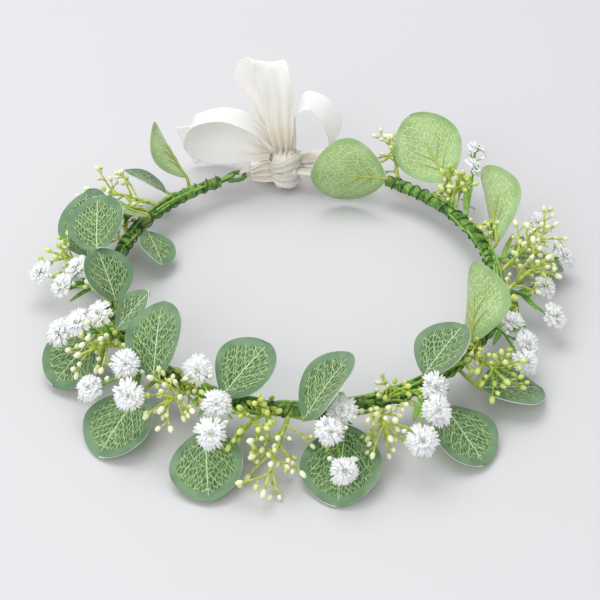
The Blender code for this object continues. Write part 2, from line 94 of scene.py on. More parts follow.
def tube(path, radii, sides=8, **tones):
    """A closed round tube along a path of points, with a radius at each, and a centre point on each end.

    Ring k is path[k] + radii[k] * (cos a * side + sin a * over), where side and over are square to the path.
    """
    path = np.asarray(path, float)
    radii = np.broadcast_to(radii, len(path)).astype(float)
    along = unit(np.gradient(path, axis=0))
    lean = np.abs(along).mean(axis=0)
    side = unit(np.cross(along, np.eye(3)[np.argmin(lean)]))
    over = np.cross(along, side)
    turn = np.arange(sides) / sides * math.tau
    ring = np.cos(turn)[None, :, None] * side[:, None] + np.sin(turn)[None, :, None] * over[:, None]
    points = path[:, None] + radii[:, None, None] * ring
    quads = grid_quads(len(path), sides, wrap=True)[:, ::-1]
    last = len(path) * sides
    here = np.arange(sides)
    ahead = (here + 1) % sides
    start_fan = np.stack([here, ahead, np.full(sides, last)], axis=1)
    far = last - sides
    end_fan = np.stack([far + ahead, far + here, np.full(sides, last + 1)], axis=1)
    everything = np.concatenate([points.reshape(-1, 3), path[:1], path[-1:]])
    fans = np.concatenate([start_fan, end_fan])[:, ::-1]
    spread = {}
    for key, value in tones.items():
        value = np.broadcast_to(value, len(path))
        spread[key] = np.concatenate([np.repeat(value, sides), value[:1], value[-1:]])
    return everything, quads, fans, spread


def build(name, surfaces, materials, body=None, node=None):
    """One object from a list of surfaces. It rides on a body, and stands for a CAD node if one is named."""
    starts = np.cumsum([0] + [len(s[0]) for s in surfaces])
    points = np.concatenate([s[0] for s in surfaces])
    quads = np.concatenate([s[1] + k for s, k in zip(surfaces, starts)])
    fans = np.concatenate([s[2] + k for s, k in zip(surfaces, starts)])
    mesh = bpy.data.meshes.new(name)
    mesh.vertices.add(len(points))
    mesh.vertices.foreach_set("co", points.astype(np.float32).ravel())
    mesh.loops.add(quads.size + fans.size)
    mesh.loops.foreach_set("vertex_index", np.concatenate([quads.ravel(), fans.ravel()]).astype(np.int32))
    mesh.polygons.add(len(quads) + len(fans))
    loop_starts = np.concatenate([np.arange(len(quads)) * 4, quads.size + np.arange(len(fans)) * 3])
    mesh.polygons.foreach_set("loop_start", loop_starts.astype(np.int32))
    mesh.update(calc_edges=True)
    for key in surfaces[0][3]:
        values = np.concatenate([s[3][key] for s in surfaces]).astype(np.float32)
        mesh.attributes.new(key, "FLOAT", "POINT").data.foreach_set("value", values)
    for material in materials:
        mesh.materials.append(material)
    mesh.polygons.foreach_set("use_smooth", np.ones(len(mesh.polygons), bool))
    obj = bpy.data.objects.new(name, mesh)
    bpy.context.scene.collection.objects.link(obj)
    if node:
        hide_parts(node)
    if body:
        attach(obj, body)
    return obj


def thicken(obj, thickness, side_material=0, rim_material=0):
    """Gives a sheet its thickness with Solidify, with other materials on its second side and its rim."""
    shell = obj.modifiers.new("thickness", "SOLIDIFY")
    shell.thickness = thickness
    shell.offset = 0.0
    shell.material_offset = side_material
    shell.material_offset_rim = rim_material
    return obj


# %% [markdown]
# ## Shader maths as plain expressions
#
# A material is a network of nodes. Written out node by node it is long and hard to read, so a small
# class wraps a socket and turns +, - and * into Math nodes. Colours go through Mix nodes, because a
# Math node would turn them grey.


# %% Sockets that do maths
class Socket:
    """One output socket of a node, whose arithmetic adds Math nodes to the same material."""

    def __init__(self, paint, socket):
        self.paint, self.socket = paint, socket

    def math(self, operation, *others):
        return self.paint.node("ShaderNodeMath", {"operation": operation}, dict(enumerate((self,) + others)))

    def __add__(self, other):
        return self.math("ADD", other)

    def __mul__(self, other):
        return self.math("MULTIPLY", other)

    def __sub__(self, other):
        return self.math("SUBTRACT", other)


class Paint:
    """A new material with its Principled shader, and short ways to the nodes that vary it."""

    def __init__(self, name, **constants):
        self.material = bpy.data.materials.new(name)
        self.material.use_nodes = True
        self.tree = self.material.node_tree
        self.shader = self.tree.nodes["Principled BSDF"]
        for key, value in constants.items():
            self.shader.inputs[key.replace("_", " ")].default_value = value

    def node(self, kind, settings=None, inputs=None, out=0):
        """Adds a node: its settings first, then its sockets' values or links. Returns one output."""
        made = self.tree.nodes.new(kind)
        for key, value in (settings or {}).items():
            setattr(made, key, value)
        for key, value in (inputs or {}).items():
            if isinstance(value, Socket):
                self.tree.links.new(value.socket, made.inputs[key])
            elif value is not None:
                made.inputs[key].default_value = value
        return Socket(self, made.outputs[out])

    def attribute(self, name):
        return self.node("ShaderNodeAttribute", {"attribute_name": name}, out="Fac")

    def place(self, scale=1000.0):
        """Object coordinates in metres times scale, which gives millimetres unless another is set."""
        here = self.node("ShaderNodeTexCoord", out="Object")
        return self.node("ShaderNodeMapping", inputs={"Vector": here, "Scale": (scale,) * 3})

    def noise(self, vector, scale, detail=2.0, roughness=0.5):
        sockets = {"Vector": vector, "Scale": scale, "Detail": detail, "Roughness": roughness}
        return self.node("ShaderNodeTexNoise", inputs=sockets)

    def step(self, value, low, high, start=0.0, end=1.0):
        """A soft step: start below low, end above high, and an S-curve between."""
        sockets = {"Value": value, "From Min": low, "From Max": high, "To Min": start, "To Max": end}
        return self.node("ShaderNodeMapRange", {"interpolation_type": "SMOOTHSTEP"}, sockets)

    def mix(self, share, first, second):
        """Blends two colours, each a colour or a socket."""
        first, second = [c if isinstance(c, Socket) else (*c, 1.0) for c in (first, second)]
        settings = {"data_type": "RGBA", "clamp_factor": True}
        return self.node("ShaderNodeMix", settings, {0: share, 6: first, 7: second}, out=2)

    def vector(self, x, y, z=0.0):
        return self.node("ShaderNodeCombineXYZ", inputs={"X": x, "Y": y, "Z": z})

    def bump(self, height, distance, strength=1.0):
        sockets = {"Height": height, "Distance": distance, "Strength": strength}
        self.tree.links.new(self.node("ShaderNodeBump", inputs=sockets).socket, self.shader.inputs["Normal"])

    def set(self, **links):
        for key, value in links.items():
            self.tree.links.new(value.socket, self.shader.inputs[key.replace("_", " ")])
        return self.material


def srgb(red, green, blue):
    """A colour given as it looks, 0 to 255, changed to the linear light that shaders use."""
    c = np.array((red, green, blue)) / 255.0
    return tuple(np.where(c <= 0.04045, c / 12.92, ((c + 0.055) / 1.055) ** 2.4))


# %% [markdown]
# ## The hoop
#
# The real hoop is a paper-covered wire. Florist's tape is wound round it in overlapping turns, over
# the cut ends of all the stems, and thin wire holds the bundle. The CAD holds the wire and a plain
# tube. The wire stays; the tube is replaced by a surface whose radius follows the lay of the tape, and
# by the stems and the binding wire that show on top of it.

# %% The hoop's own coordinates
HOOP_RADIUS = 0.092
HOOP_HEIGHT = 0.014
BINDING_RADIUS = 0.0033
BINDING_START, BINDING_END = 118.5, 421.5
UP = np.array((0.0, 0.0, 1.0))


def on_hoop(angle, out=0.0, up=0.0):
    """Points by hoop angle in degrees, offset outward and upward from the wire's centreline."""
    a = np.radians(np.asarray(angle, float))
    radius = HOOP_RADIUS + np.asarray(out, float)
    height = HOOP_HEIGHT + np.asarray(up, float)
    return np.stack(np.broadcast_arrays(radius * np.cos(a), radius * np.sin(a), height), axis=-1)


def outward(angle):
    a = math.radians(angle)
    return np.array((math.cos(a), math.sin(a), 0.0))


def root_on_binding(angle, towards):
    """The point on the winding at this hoop angle, on the side that faces a target."""
    centre = on_hoop(angle)
    tangent = np.array((-math.sin(math.radians(angle)), math.cos(math.radians(angle)), 0.0))
    side = towards - centre
    side = side - tangent * (side @ tangent)
    return centre + unit(side) * BINDING_RADIUS


def bezier(points, t):
    """Points on the Bezier curve of any degree through its control points, at each t."""
    t = np.asarray(t, float)[:, None]
    points = [np.asarray(p, float)[None] for p in points]
    while len(points) > 1:
        points = [a + (b - a) * t for a, b in zip(points, points[1:])]
    return points[0]


def wobble(x, y, seed, waves=9, scale=1.0):
    """A smooth random height from -1 to 1 over two coordinates: a sum of sine waves of set random slopes."""
    draw = np.random.default_rng(seed)
    slopes = draw.normal(0.0, scale, (waves, 2))
    phases = draw.uniform(0.0, math.tau, waves)
    total = sum(np.sin(a * x + b * y + p) for (a, b), p in zip(slopes, phases))
    return total / math.sqrt(waves)


# %% Tape, stem and wire finishes
def tape_finish():
    """Crepe-paper tape: each turn its own tone, painted shade in the groove at each turn's edge, with fine
    stretch wrinkles.
    """
    paint = Paint("florist_tape", Roughness=0.5, Specular_IOR_Level=0.35)
    lay, turn = paint.attribute("lay"), paint.attribute("turn")
    where = paint.place()
    shade = paint.noise(paint.vector(turn * 3.7, 0.0), 1.0, detail=0.0)
    patches = paint.noise(where, 0.35, detail=3.0)
    green = paint.mix(paint.step(shade, 0.35, 0.65), srgb(52, 98, 34), srgb(108, 150, 58))
    green = paint.mix(paint.step(patches, 0.52, 0.72), green, srgb(150, 182, 92))
    dark = paint.mix(paint.step(patches, 0.30, 0.48, 1.0, 0.0), green, srgb(30, 62, 24))
    # Painted shade: where lay is near 0, in the groove at each turn's edge, the green is darkened to a deep
    # black-green.
    colour = paint.mix(paint.step(lay, 0.0, 0.2, 0.75, 0.0), dark, srgb(22, 48, 18))
    wrinkle = paint.noise(where, 2.6, detail=4.0, roughness=0.7)
    paint.bump(wrinkle, 0.00025)
    return paint.set(Base_Color=colour, Roughness=paint.step(wrinkle, 0.3, 0.7, 0.38, 0.62))


def stem_finish(name, dark, light, tip):
    """Moulded plastic stems and buds: tone 0 is stem green and 1 is the bud's colour."""
    paint = Paint(name, Subsurface_Weight=0.12, Subsurface_Scale=0.001, Specular_IOR_Level=0.4)
    tone = paint.attribute("tone")
    where = paint.place()
    mottle = paint.noise(where, 0.45, detail=3.0)
    stem = paint.mix(paint.step(mottle, 0.35, 0.65), dark, light)
    colour = paint.mix(paint.step(tone, 0.15, 0.95), stem, tip)
    fine = paint.noise(where, 1.8)
    paint.bump(fine, 0.0001)
    return paint.set(Base_Color=colour, Roughness=paint.step(fine, 0.3, 0.7, 0.4, 0.6))


def wire_finish():
    """Paper-covered wire: a wound strip, seen as fine slanting ridges, with painted shade in the grooves
    between them.
    """
    paint = Paint("covered_wire", Roughness=0.6, Specular_IOR_Level=0.3)
    where = paint.place()
    ridges = paint.node("ShaderNodeTexWave", {"bands_direction": "DIAGONAL"},
                        {"Vector": where, "Scale": 0.55, "Distortion": 1.5, "Detail": 1.0}, out="Fac")
    mottle = paint.noise(where, 0.9)
    # Painted shade: the colour follows the ridge height, dark green in the grooves and light green on the
    # crests.
    colour = paint.mix(ridges, srgb(60, 100, 44), srgb(110, 150, 74))
    paint.bump(ridges, 0.00012)
    return paint.set(Base_Color=colour, Roughness=paint.step(mottle, 0.3, 0.7, 0.45, 0.7))


tape = tape_finish()
bound_green = stem_finish("bound_stems", srgb(62, 118, 40), srgb(132, 178, 78), srgb(168, 186, 96))
fine_wire = stem_finish("binding_wire", srgb(30, 60, 26), srgb(58, 98, 44), srgb(60, 100, 44))
covered_wire = wire_finish()

# %% The wound tape
LAY = 0.0042            # from one turn of tape to the next
TAPE_RISE = 0.00042     # a turn's edge above the turn below it
TAPE_CORE = 0.00272     # radius of the bundle under the tape
TAPE_STEPS, TAPE_SIDES = 900, 22


def wound_tape():
    """The winding: at hoop angle a and turn p about the wire, radius = core + edge of the lay + bulges.

    The lay is how far a point is from the last turn's edge, 0 to 1: the part of a / lay + p / 360 degrees
    after its whole number. The tape is highest just past an edge and sinks to the next one.
    """
    angle = np.linspace(BINDING_START, BINDING_END, TAPE_STEPS)[:, None]
    turn = (np.arange(TAPE_SIDES) / TAPE_SIDES)[None, :]
    length = np.radians(angle - BINDING_START) * HOOP_RADIUS
    count = length / LAY + turn + 0.18 * wobble(length * 260.0, 0.0, 3)
    lay = count % 1.0
    edge = np.clip(lay / 0.14, 0.0, 1.0) * (1.0 - 0.75 * lay)
    bulges = 0.00022 * np.cos(math.tau * (3.0 * turn + length * 9.0)) + 0.00022 * wobble(
        length * 420.0, turn * math.tau, 11)
    radius = TAPE_CORE + TAPE_RISE * edge + bulges
    ends = np.clip(np.minimum(length, length[-1] - length) / 0.0008, 0.12, 1.0)
    radius = radius * ends
    a, p = np.radians(angle), turn * math.tau
    reach = HOOP_RADIUS + radius * np.cos(p)
    points = np.stack([reach * np.cos(a), reach * np.sin(a), HOOP_HEIGHT + radius * np.sin(p)], axis=-1)
    flat = points.reshape(-1, 3)
    quads = grid_quads(TAPE_STEPS, TAPE_SIDES, wrap=True)
    tones = {"lay": lay.ravel(), "turn": np.floor(count).ravel()}
    print("winding:", len(quads), "faces, radius", radius.min().round(4), "to", radius.max().round(4))
    return flat, quads, np.zeros((0, 3), int), tones


build("tape_winding", [wound_tape()], [tape], "crown", "hoop_binding")
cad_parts["hoop_wire"].data.materials.clear()
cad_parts["hoop_wire"].data.materials.append(covered_wire)

# %% The stems laid along the hoop, and the wire that binds them
BOUND = 46
WIRE_POINTS, WIRE_TURNS = 2600, 74.0


def bound_stem(start, span, spin, lean, radius, tone):
    """A cut stem on the winding: it runs along the hoop while its place round the wire drifts by lean."""
    t = np.linspace(0.0, 1.0, 18)
    angle = start + span * t
    p = spin + lean * t
    reach = BINDING_RADIUS + radius * 0.35 - 0.0012 * np.maximum(0.0, 1.0 - t / 0.15)
    path = on_hoop(angle, reach * np.cos(p), reach * np.sin(p))
    width = radius * np.where(t < 0.06, 0.8, 1.0) * (1.0 - 0.25 * t)
    return tube(path, width, 7, tone=tone)


stems = []
for k in range(BOUND):
    start = BINDING_START + 3.0 + (BINDING_END - BINDING_START - 30.0) * (k + rng.uniform(0.0, 0.8)) / BOUND
    stems.append(bound_stem(start, rng.uniform(8.0, 24.0), rng.uniform(-0.6, 3.4), rng.uniform(-0.7, 0.7),
                            rng.uniform(0.0006, 0.00105), rng.uniform(0.0, 0.55)))
for way, (lift, out) in ((1, (0.0021, -0.0004)), (-1, (-0.0006, 0.0012))):
    t = np.linspace(0.0, 1.0, 8)
    path = on_hoop(BINDING_START + 4.0 - 8.5 * t, out * t * 1.5 - 0.0008, lift * (0.3 + t))
    stems.append(tube(path, 0.00115 - 0.0001 * t, 8, tone=0.1 * (way + 1)))
build("bound_stems", stems, [bound_green], "crown")

t = np.linspace(0.0, 1.0, WIRE_POINTS)
turns = math.tau * (t * WIRE_TURNS + 0.35 * np.sin(t * 31.0) + 0.2 * np.sin(t * 83.0 + 1.0))
reach = BINDING_RADIUS + 0.00005 + 0.00012 * np.sin(t * 140.0)
path = on_hoop(BINDING_START + 1.5 + (BINDING_END - BINDING_START - 3.0) * t, reach * np.cos(turns),
               reach * np.sin(turns))
build("binding_wire", [tube(path, 0.00032, 5, tone=0.0)], [fine_wire], "crown")

# %% [markdown]
# ## Eucalyptus leaves
#
# Each real leaf is a disc of printed fabric, stiffened so that it keeps a soft cup. Its face shows a
# plain grey-green rim round a net of pale veins, and its back is light green with a moulded rib that
# runs into the stalk. A leaf is one function of two numbers: s from its base to its tip and v across
# it. Solidify gives it a face, a back and a cut edge, each with its own finish. The same two numbers
# are stored on the mesh, so that the veins can follow the shape.

# %% How the leaves are placed
# base: hoop angle, out, up; then swing, climb, turn about the midrib, length, width, fold (degrees)
LEAVES = {
    "leaf_01": (130, 0.004, 0.007, 19, 50, -150, 0.033, 0.027, 22),
    "leaf_02": (136, 0.009, 0.001, 22, 24, 25, 0.024, 0.020, 10),
    "leaf_03": (175, 0.013, 0.005, -76, 28, -34, 0.037, 0.032, 8),
    "leaf_04": (180, 0.006, 0.014, -84, 28, -22, 0.031, 0.030, 10),
    "leaf_05": (155, -0.006, 0.009, 14, 12, -155, 0.020, 0.013, 16),
    "leaf_06": (156, -0.006, 0.000, 141, -12, -28, 0.022, 0.021, 12),
    "leaf_07": (198, -0.001, 0.007, -83, 46, 25, 0.026, 0.026, 10),
    "leaf_08": (211, 0.005, 0.009, -176, 42, -14, 0.022, 0.022, 12),
    "leaf_09": (232, 0.012, 0.009, -145, 40, -30, 0.034, 0.030, 12),
    "leaf_10": (205, 0.009, 0.004, 25, -19, 2, 0.034, 0.033, 6),
    "leaf_11": (229, 0.015, 0.000, 8, -17, 6, 0.033, 0.033, 6),
    "leaf_12": (250, 0.007, 0.010, 152, 34, -4, 0.029, 0.031, 10),
    "leaf_13": (248, 0.018, -0.001, 26, -14, 12, 0.032, 0.031, 6),
    "leaf_14": (270, 0.013, 0.008, 135, 43, -25, 0.033, 0.031, 14),
    "leaf_15": (280, 0.008, -0.002, -17, -12, 8, 0.037, 0.034, 6),
    "leaf_16": (303, 0.002, 0.008, 102, 36, -20, 0.028, 0.029, 12),
    "leaf_17": (304, 0.014, -0.001, -1, -14, -8, 0.031, 0.030, 6),
    "leaf_18": (316, 0.016, -0.003, 60, -10, -4, 0.030, 0.029, 6),
    "leaf_19": (322, 0.002, 0.008, 119, 42, 122, 0.036, 0.032, 26),
    "leaf_20": (11, 0.005, 0.006, 81, 29, 108, 0.041, 0.032, 26),
    "leaf_21": (42, 0.009, 0.009, 78, 27, 150, 0.041, 0.036, 8),
    "leaf_22": (59, -0.0085, 0.008, 114, 2, 98, 0.039, 0.036, 22),
    "leaf_23": (7, 0.013, -0.002, 20, -12, -5, 0.027, 0.029, 6),
}
LEAF_ARCH = 0.09
EDGE_WAVE, BLADE_PLEAT = 0.0007, 0.00012
PETIOLE_REACH, PETIOLE_TURN = 0.004, 0.6
BLADE_ROWS, BLADE_COLUMNS = 44, 29


def half_width(s):
    """Half a blade's width along it, as a share of the full width: round, and widest past its middle."""
    return 0.5 * np.sin(math.pi * np.clip(s, 0.0, 1.0) ** 1.12) ** 0.54


def turned(turn, climb, heading):
    """The rotation that turns about X, then climbs about Y, then heads about Z, in degrees."""
    x, y, z = np.radians((turn, -climb, heading))
    rx = np.array(((1, 0, 0), (0, math.cos(x), -math.sin(x)), (0, math.sin(x), math.cos(x))))
    ry = np.array(((math.cos(y), 0, math.sin(y)), (0, 1, 0), (-math.sin(y), 0, math.cos(y))))
    rz = np.array(((math.cos(z), -math.sin(z), 0), (math.sin(z), math.cos(z), 0), (0, 0, 1)))
    return rz @ ry @ rx


def blade_points(s, v, length, width, fold, seed):
    """A blade's points: x = length * s, y = v * half width, z = cup + arch + a soft wave near the edge."""
    half = width * half_width(s)
    x, y = length * s, v * half
    cup = math.tan(math.radians(fold)) * y ** 2 / (width / 2.0)
    wave = EDGE_WAVE * wobble(s * 5.0, v * 1.6, seed, 5) * np.abs(v) ** 2
    pleat = BLADE_PLEAT * np.cos(math.tau * 6.0 * (s - 0.45 * np.abs(v) * half / length))
    z = cup - LEAF_ARCH * length * s ** 2 + wave + pleat * (1.0 - np.abs(v)) * s
    return np.stack(np.broadcast_arrays(x, y, z), axis=-1)


# %% [markdown]
# ### The leaf's printed face
#
# The veins need three things: a midrib at y = 0, side veins that leave it at a slant and bend to the
# tip, and a fine net between them. The side veins are level lines of x - 0.75 |y| - 0.028 y^2, in
# millimetres, with a little noise. The net is a Voronoi pattern's cell edges in coordinates that are
# stretched along the veins.


# %% The leaf's three finishes
NET_SCALE = 0.66


def vein_lines(paint, cell, thickness):
    """Distance along the leaf, then the side veins, the net's lines, the net itself and the midrib."""
    along, across = paint.attribute("along"), paint.attribute("across")
    number = paint.attribute("number")
    apart = across.math("ABSOLUTE")
    level = along - apart * 0.75 - apart * apart * 0.028
    jitter = paint.noise(paint.vector(along, across, number), 0.22, detail=1.0)
    swayed = level + (jitter - 0.5) * 3.2
    nearest = ((swayed * 0.17).math("FRACT") - 0.5).math("ABSOLUTE")
    side_vein = paint.step(nearest, 0.015, 0.05, 1.0, 0.0)
    where = paint.vector(level * 0.62 + number * 37.0, across * 0.9 + jitter * 1.0)
    settings = {"feature": "DISTANCE_TO_EDGE", "voronoi_dimensions": "2D"}
    net = paint.node("ShaderNodeTexVoronoi", settings, {"Vector": where, "Scale": cell, "Randomness": 0.9})
    net_line = paint.step(net, thickness * 0.35, thickness, 1.0, 0.0)
    midrib = paint.step(apart, 0.12, 0.34, 1.0, 0.0)
    return along, side_vein, net_line, net, midrib


def leaf_face_finish():
    """The printed face: grey-green rim, dark cells, pale yellow-green net, almost white midrib."""
    paint = Paint("leaf_face", Roughness=0.5, Specular_IOR_Level=0.35, Sheen_Weight=0.25, Sheen_Roughness=0.5)
    along, side_vein, net_line, net, midrib = vein_lines(paint, NET_SCALE, 0.085)
    rim = paint.attribute("rim") - along * 0.055
    blotch = paint.noise(paint.place(), 0.12)
    edge = rim + (paint.noise(paint.place(), 0.5) - 0.5) * 1.6
    printed = paint.step(edge, 1.4, 2.8)
    plain = paint.mix(paint.step(blotch, 0.3, 0.7), srgb(86, 119, 84), srgb(110, 140, 104))
    cells = paint.mix(paint.step(blotch, 0.35, 0.65), srgb(48, 84, 44), srgb(70, 106, 58))
    cells = paint.mix(paint.step(net, 0.05, 0.40, 0.45, 0.0), cells, srgb(108, 142, 84))
    veins = paint.mix(net_line * 0.85, cells, srgb(172, 198, 136))
    veins = paint.mix(side_vein * 0.8, veins, srgb(190, 214, 160))
    colour = paint.mix(printed, plain, veins)
    reach = paint.step(along, 18.0, 30.0, 1.0, 0.0)
    colour = paint.mix(midrib * paint.step(rim, 0.2, 1.2) * (reach * 0.5 + 0.5), colour, srgb(206, 224, 178))
    weave = paint.noise(paint.place(), 3.5)
    height = net_line * printed * 0.35 + side_vein * printed * 0.6 + midrib * 0.8 + weave * 0.25
    paint.bump(height, 0.00025, 0.8)
    return paint.set(Base_Color=colour, Roughness=paint.step(weave, 0.3, 0.7, 0.42, 0.6))


def leaf_back_finish():
    """The back: light green, with the veins only just paler."""
    paint = Paint("leaf_back", Roughness=0.6, Specular_IOR_Level=0.3, Sheen_Weight=0.2)
    _, side_vein, net_line, _, _ = vein_lines(paint, NET_SCALE, 0.115)
    blotch = paint.noise(paint.place(), 0.1)
    plain = paint.mix(paint.step(blotch, 0.3, 0.7), srgb(136, 166, 106), srgb(156, 184, 128))
    veins = paint.mix(net_line * 0.75, plain, srgb(198, 220, 154))
    veins = paint.mix(side_vein * 0.75, veins, srgb(204, 222, 150))
    printed = paint.step(paint.attribute("rim"), 1.5, 3.5)
    weave = paint.noise(paint.place(), 3.5)
    colour = paint.mix(printed, plain, veins)
    paint.bump(weave * 0.3 + net_line * 0.3 + side_vein * 0.5, 0.0002, 0.8)
    return paint.set(Base_Color=colour, Roughness=paint.step(weave, 0.3, 0.7, 0.5, 0.68))


def cut_edge_finish():
    """The cut edge, where the cloth's white core shows."""
    paint = Paint("leaf_cut_edge", Roughness=0.7)
    fray = paint.noise(paint.place(), 1.5)
    colour = paint.mix(paint.step(fray, 0.3, 0.7), srgb(176, 200, 172), srgb(214, 226, 208))
    return paint.set(Base_Color=colour, Roughness=paint.step(fray, 0.3, 0.7, 0.6, 0.75))


leaf_face, leaf_back, cut_edge = leaf_face_finish(), leaf_back_finish(), cut_edge_finish()
rib_green = stem_finish("leaf_stalk", srgb(146, 158, 66), srgb(170, 176, 80), srgb(172, 188, 98))
LEAF_SHEET = 0.0004


# %% Leaves and their stalks
def leaf(number, angle, out, up, swing, climb, turn, length, width, fold):
    """One leaf: its blade as a sheet, and its stalk, which runs up the back as a rib."""
    base = on_hoop(angle, out, up)
    spin = turned(turn, climb, angle + swing)
    s = (1.0 - np.cos(np.linspace(0.03, 0.985, BLADE_ROWS) * math.pi))[:, None] / 2.0
    v = np.sin(np.linspace(-0.5, 0.5, BLADE_COLUMNS) * math.pi * 0.96)[None, :]
    v = v / v[0, -1]
    local = blade_points(s, v, length, width, fold, number)
    grid = np.linspace(0.0, 1.0, 120)
    outline = np.stack([length * grid, width * half_width(grid)], axis=-1)
    apart = np.stack([local[..., 0], np.abs(local[..., 1])], axis=-1)
    rim = np.linalg.norm(apart[:, :, None] - outline[None, None], axis=-1).min(axis=-1)
    blade = surface(local @ spin.T + base, along=local[..., 0] * 1000.0, across=local[..., 1] * 1000.0,
                    rim=rim * 1000.0, number=float(number))
    finishes = [leaf_face, leaf_back, cut_edge]
    piece = build(f"eucalyptus_{number:02d}", [blade], finishes, "crown", f"leaf_{number:02d}")
    thicken(piece, LEAF_SHEET, side_material=1, rim_material=2)

    root = (root_on_binding(angle, base) - base) @ spin
    hook = min(PETIOLE_REACH, np.linalg.norm(root) / 2.0)
    elbow = root + (np.array((-hook, 0.0, 0.0)) - root) * PETIOLE_TURN
    stalk = bezier([root, elbow, (0.0, 0.0, -0.0006)], np.linspace(0.0, 1.0, 12))
    under = blade_points(np.linspace(0.03, 0.62, 16), 0.0, length, width, fold, number)
    under[:, 2] -= 0.0005
    path = np.concatenate([stalk, under])
    share = np.linspace(0.0, 1.0, len(path))
    pieces = [tube(path @ spin.T + base, 0.0009 - 0.0007 * share ** 1.6, 8, tone=share)]
    for side in (-1.0, 1.0):
        for first, reach in ((0.14, 0.5), (0.30, 0.42)):
            t = np.linspace(0.0, 1.0, 9)
            twig = blade_points(first + 0.26 * t, side * reach * t, length, width, fold, number)
            twig[:, 2] -= 0.00042
            pieces.append(tube(twig @ spin.T + base, 0.00034 - 0.0002 * t, 6, tone=0.4 + 0.3 * t))
    build(f"leaf_stalk_{number:02d}", pieces, [rib_green], "crown")
    return base


for name, row in LEAVES.items():
    base = leaf(int(name[-2:]), *row)
    low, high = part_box(name)
    if not all(lo - 0.002 < b < hi + 0.002 for lo, b, hi in zip(low, base, high)):
        print(name, "is off its solid")
print("leaves:", len(LEAVES))

# %% [markdown]
# ## Baby's-breath heads
#
# A head is a moulded pom-pom: four rings of toothed petals round a small green eye. The outer
# ring lies almost flat, and each ring further in stands up more. One petal is a small grid, and numpy
# places all the petals of a head at once.

# %% Flower picks
# root's hoop angle, then each head's centre: hoop angle, out, up
FLOWER_PICKS = {
    1: (150, ((158, 0.020, 0.016),)),
    2: (188, ((181, 0.035, 0.004), (185, 0.016, 0.012), (191, 0.023, 0.012))),
    3: (211, ((207, 0.030, 0.012), (209, 0.022, 0.018), (211, 0.013, 0.022))),
    4: (221, ((222, 0.032, 0.005), (228, 0.020, 0.019), (234, 0.031, 0.016))),
    5: (246, ((242, 0.004, 0.017), (251, 0.018, 0.016), (252, 0.031, 0.012))),
    6: (276, ((278, 0.017, 0.016), (275, 0.027, 0.015), (277, 0.039, 0.004))),
    7: (300, ((300, 0.017, 0.016), (297, 0.028, 0.015), (292, 0.035, 0.009))),
    8: (336, ((334, 0.013, 0.009), (331, 0.022, 0.005), (326, 0.026, 0.004))),
    9: (353, ((353, 0.023, 0.005), (345, 0.029, 0.001))),
    10: (7, ((7, 0.038, 0.000), (15, 0.031, 0.009))),
    11: (29, ((42, 0.031, 0.020), (38, 0.022, 0.016))),
}
HEAD_RADIUS = 0.0066
# petals in a ring, share of the radius, rise of the petal in degrees, petal's width at its end
RINGS = ((13, 1.00, 5, 0.00255), (11, 0.80, 24, 0.00235), (8, 0.56, 46, 0.00200), (5, 0.34, 68, 0.00140))
RING_TWIST = 0.9        # from one ring to the next, radians
EYE_TONE = 1.0
HEAD_LEAN = np.array((0.0, -0.28, 0.0))
PETAL_SHEET, LEAFLET_SHEET = 0.00022, 0.0003
LEAFLET_LEAST_HEIGHT = 0.0015


def head_finish():
    """White plastic petals with painted shade, pale green-grey, towards their bases where the rings crowd,
    and fine lines along them.
    """
    paint = Paint("babys_breath", Roughness=0.6, Subsurface_Weight=0.6, Subsurface_Scale=0.003,
                  Specular_IOR_Level=0.2)
    tone = paint.attribute("tone")
    fibre = paint.noise(paint.place(), 2.2, detail=3.0)
    white = paint.mix(paint.step(fibre, 0.25, 0.75), srgb(246, 248, 250), srgb(254, 254, 255))
    # Painted shade: petals turn pale green-grey towards their bases, where the rings crowd together.
    shaded = paint.mix(paint.step(tone, 0.3, 0.8), white, srgb(226, 238, 214))
    colour = paint.mix(paint.step(tone, 0.85, 0.98), shaded, srgb(168, 206, 138))
    paint.shader.inputs["Subsurface Radius"].default_value = (1.0, 1.0, 1.0)
    paint.bump(fibre, 0.00012)
    return paint.set(Base_Color=colour, Roughness=paint.step(fibre, 0.3, 0.7, 0.45, 0.65))


def fresh_leaf_finish():
    """Thin moulded leaflets: bright green, paler at the midline, with a soft gloss."""
    paint = Paint("fresh_leaf", Subsurface_Weight=0.15, Subsurface_Scale=0.001, Specular_IOR_Level=0.45)
    across, tone = paint.attribute("across"), paint.attribute("tone")
    mottle = paint.noise(paint.place(), 0.5, detail=3.0)
    green = paint.mix(paint.step(mottle, 0.3, 0.7), srgb(70, 128, 38), srgb(112, 168, 60))
    green = paint.mix(paint.step(tone, 0.1, 0.9), green, srgb(166, 196, 92))
    mid = paint.step(across.math("ABSOLUTE"), 0.0, 0.22, 1.0, 0.0)
    fine = paint.noise(paint.place(), 2.0)
    paint.bump(mid * 0.8 + fine * 0.3, 0.00015)
    return paint.set(Base_Color=paint.mix(mid * 0.6, green, srgb(168, 204, 106)),
                     Roughness=paint.step(fine, 0.3, 0.7, 0.36, 0.52))


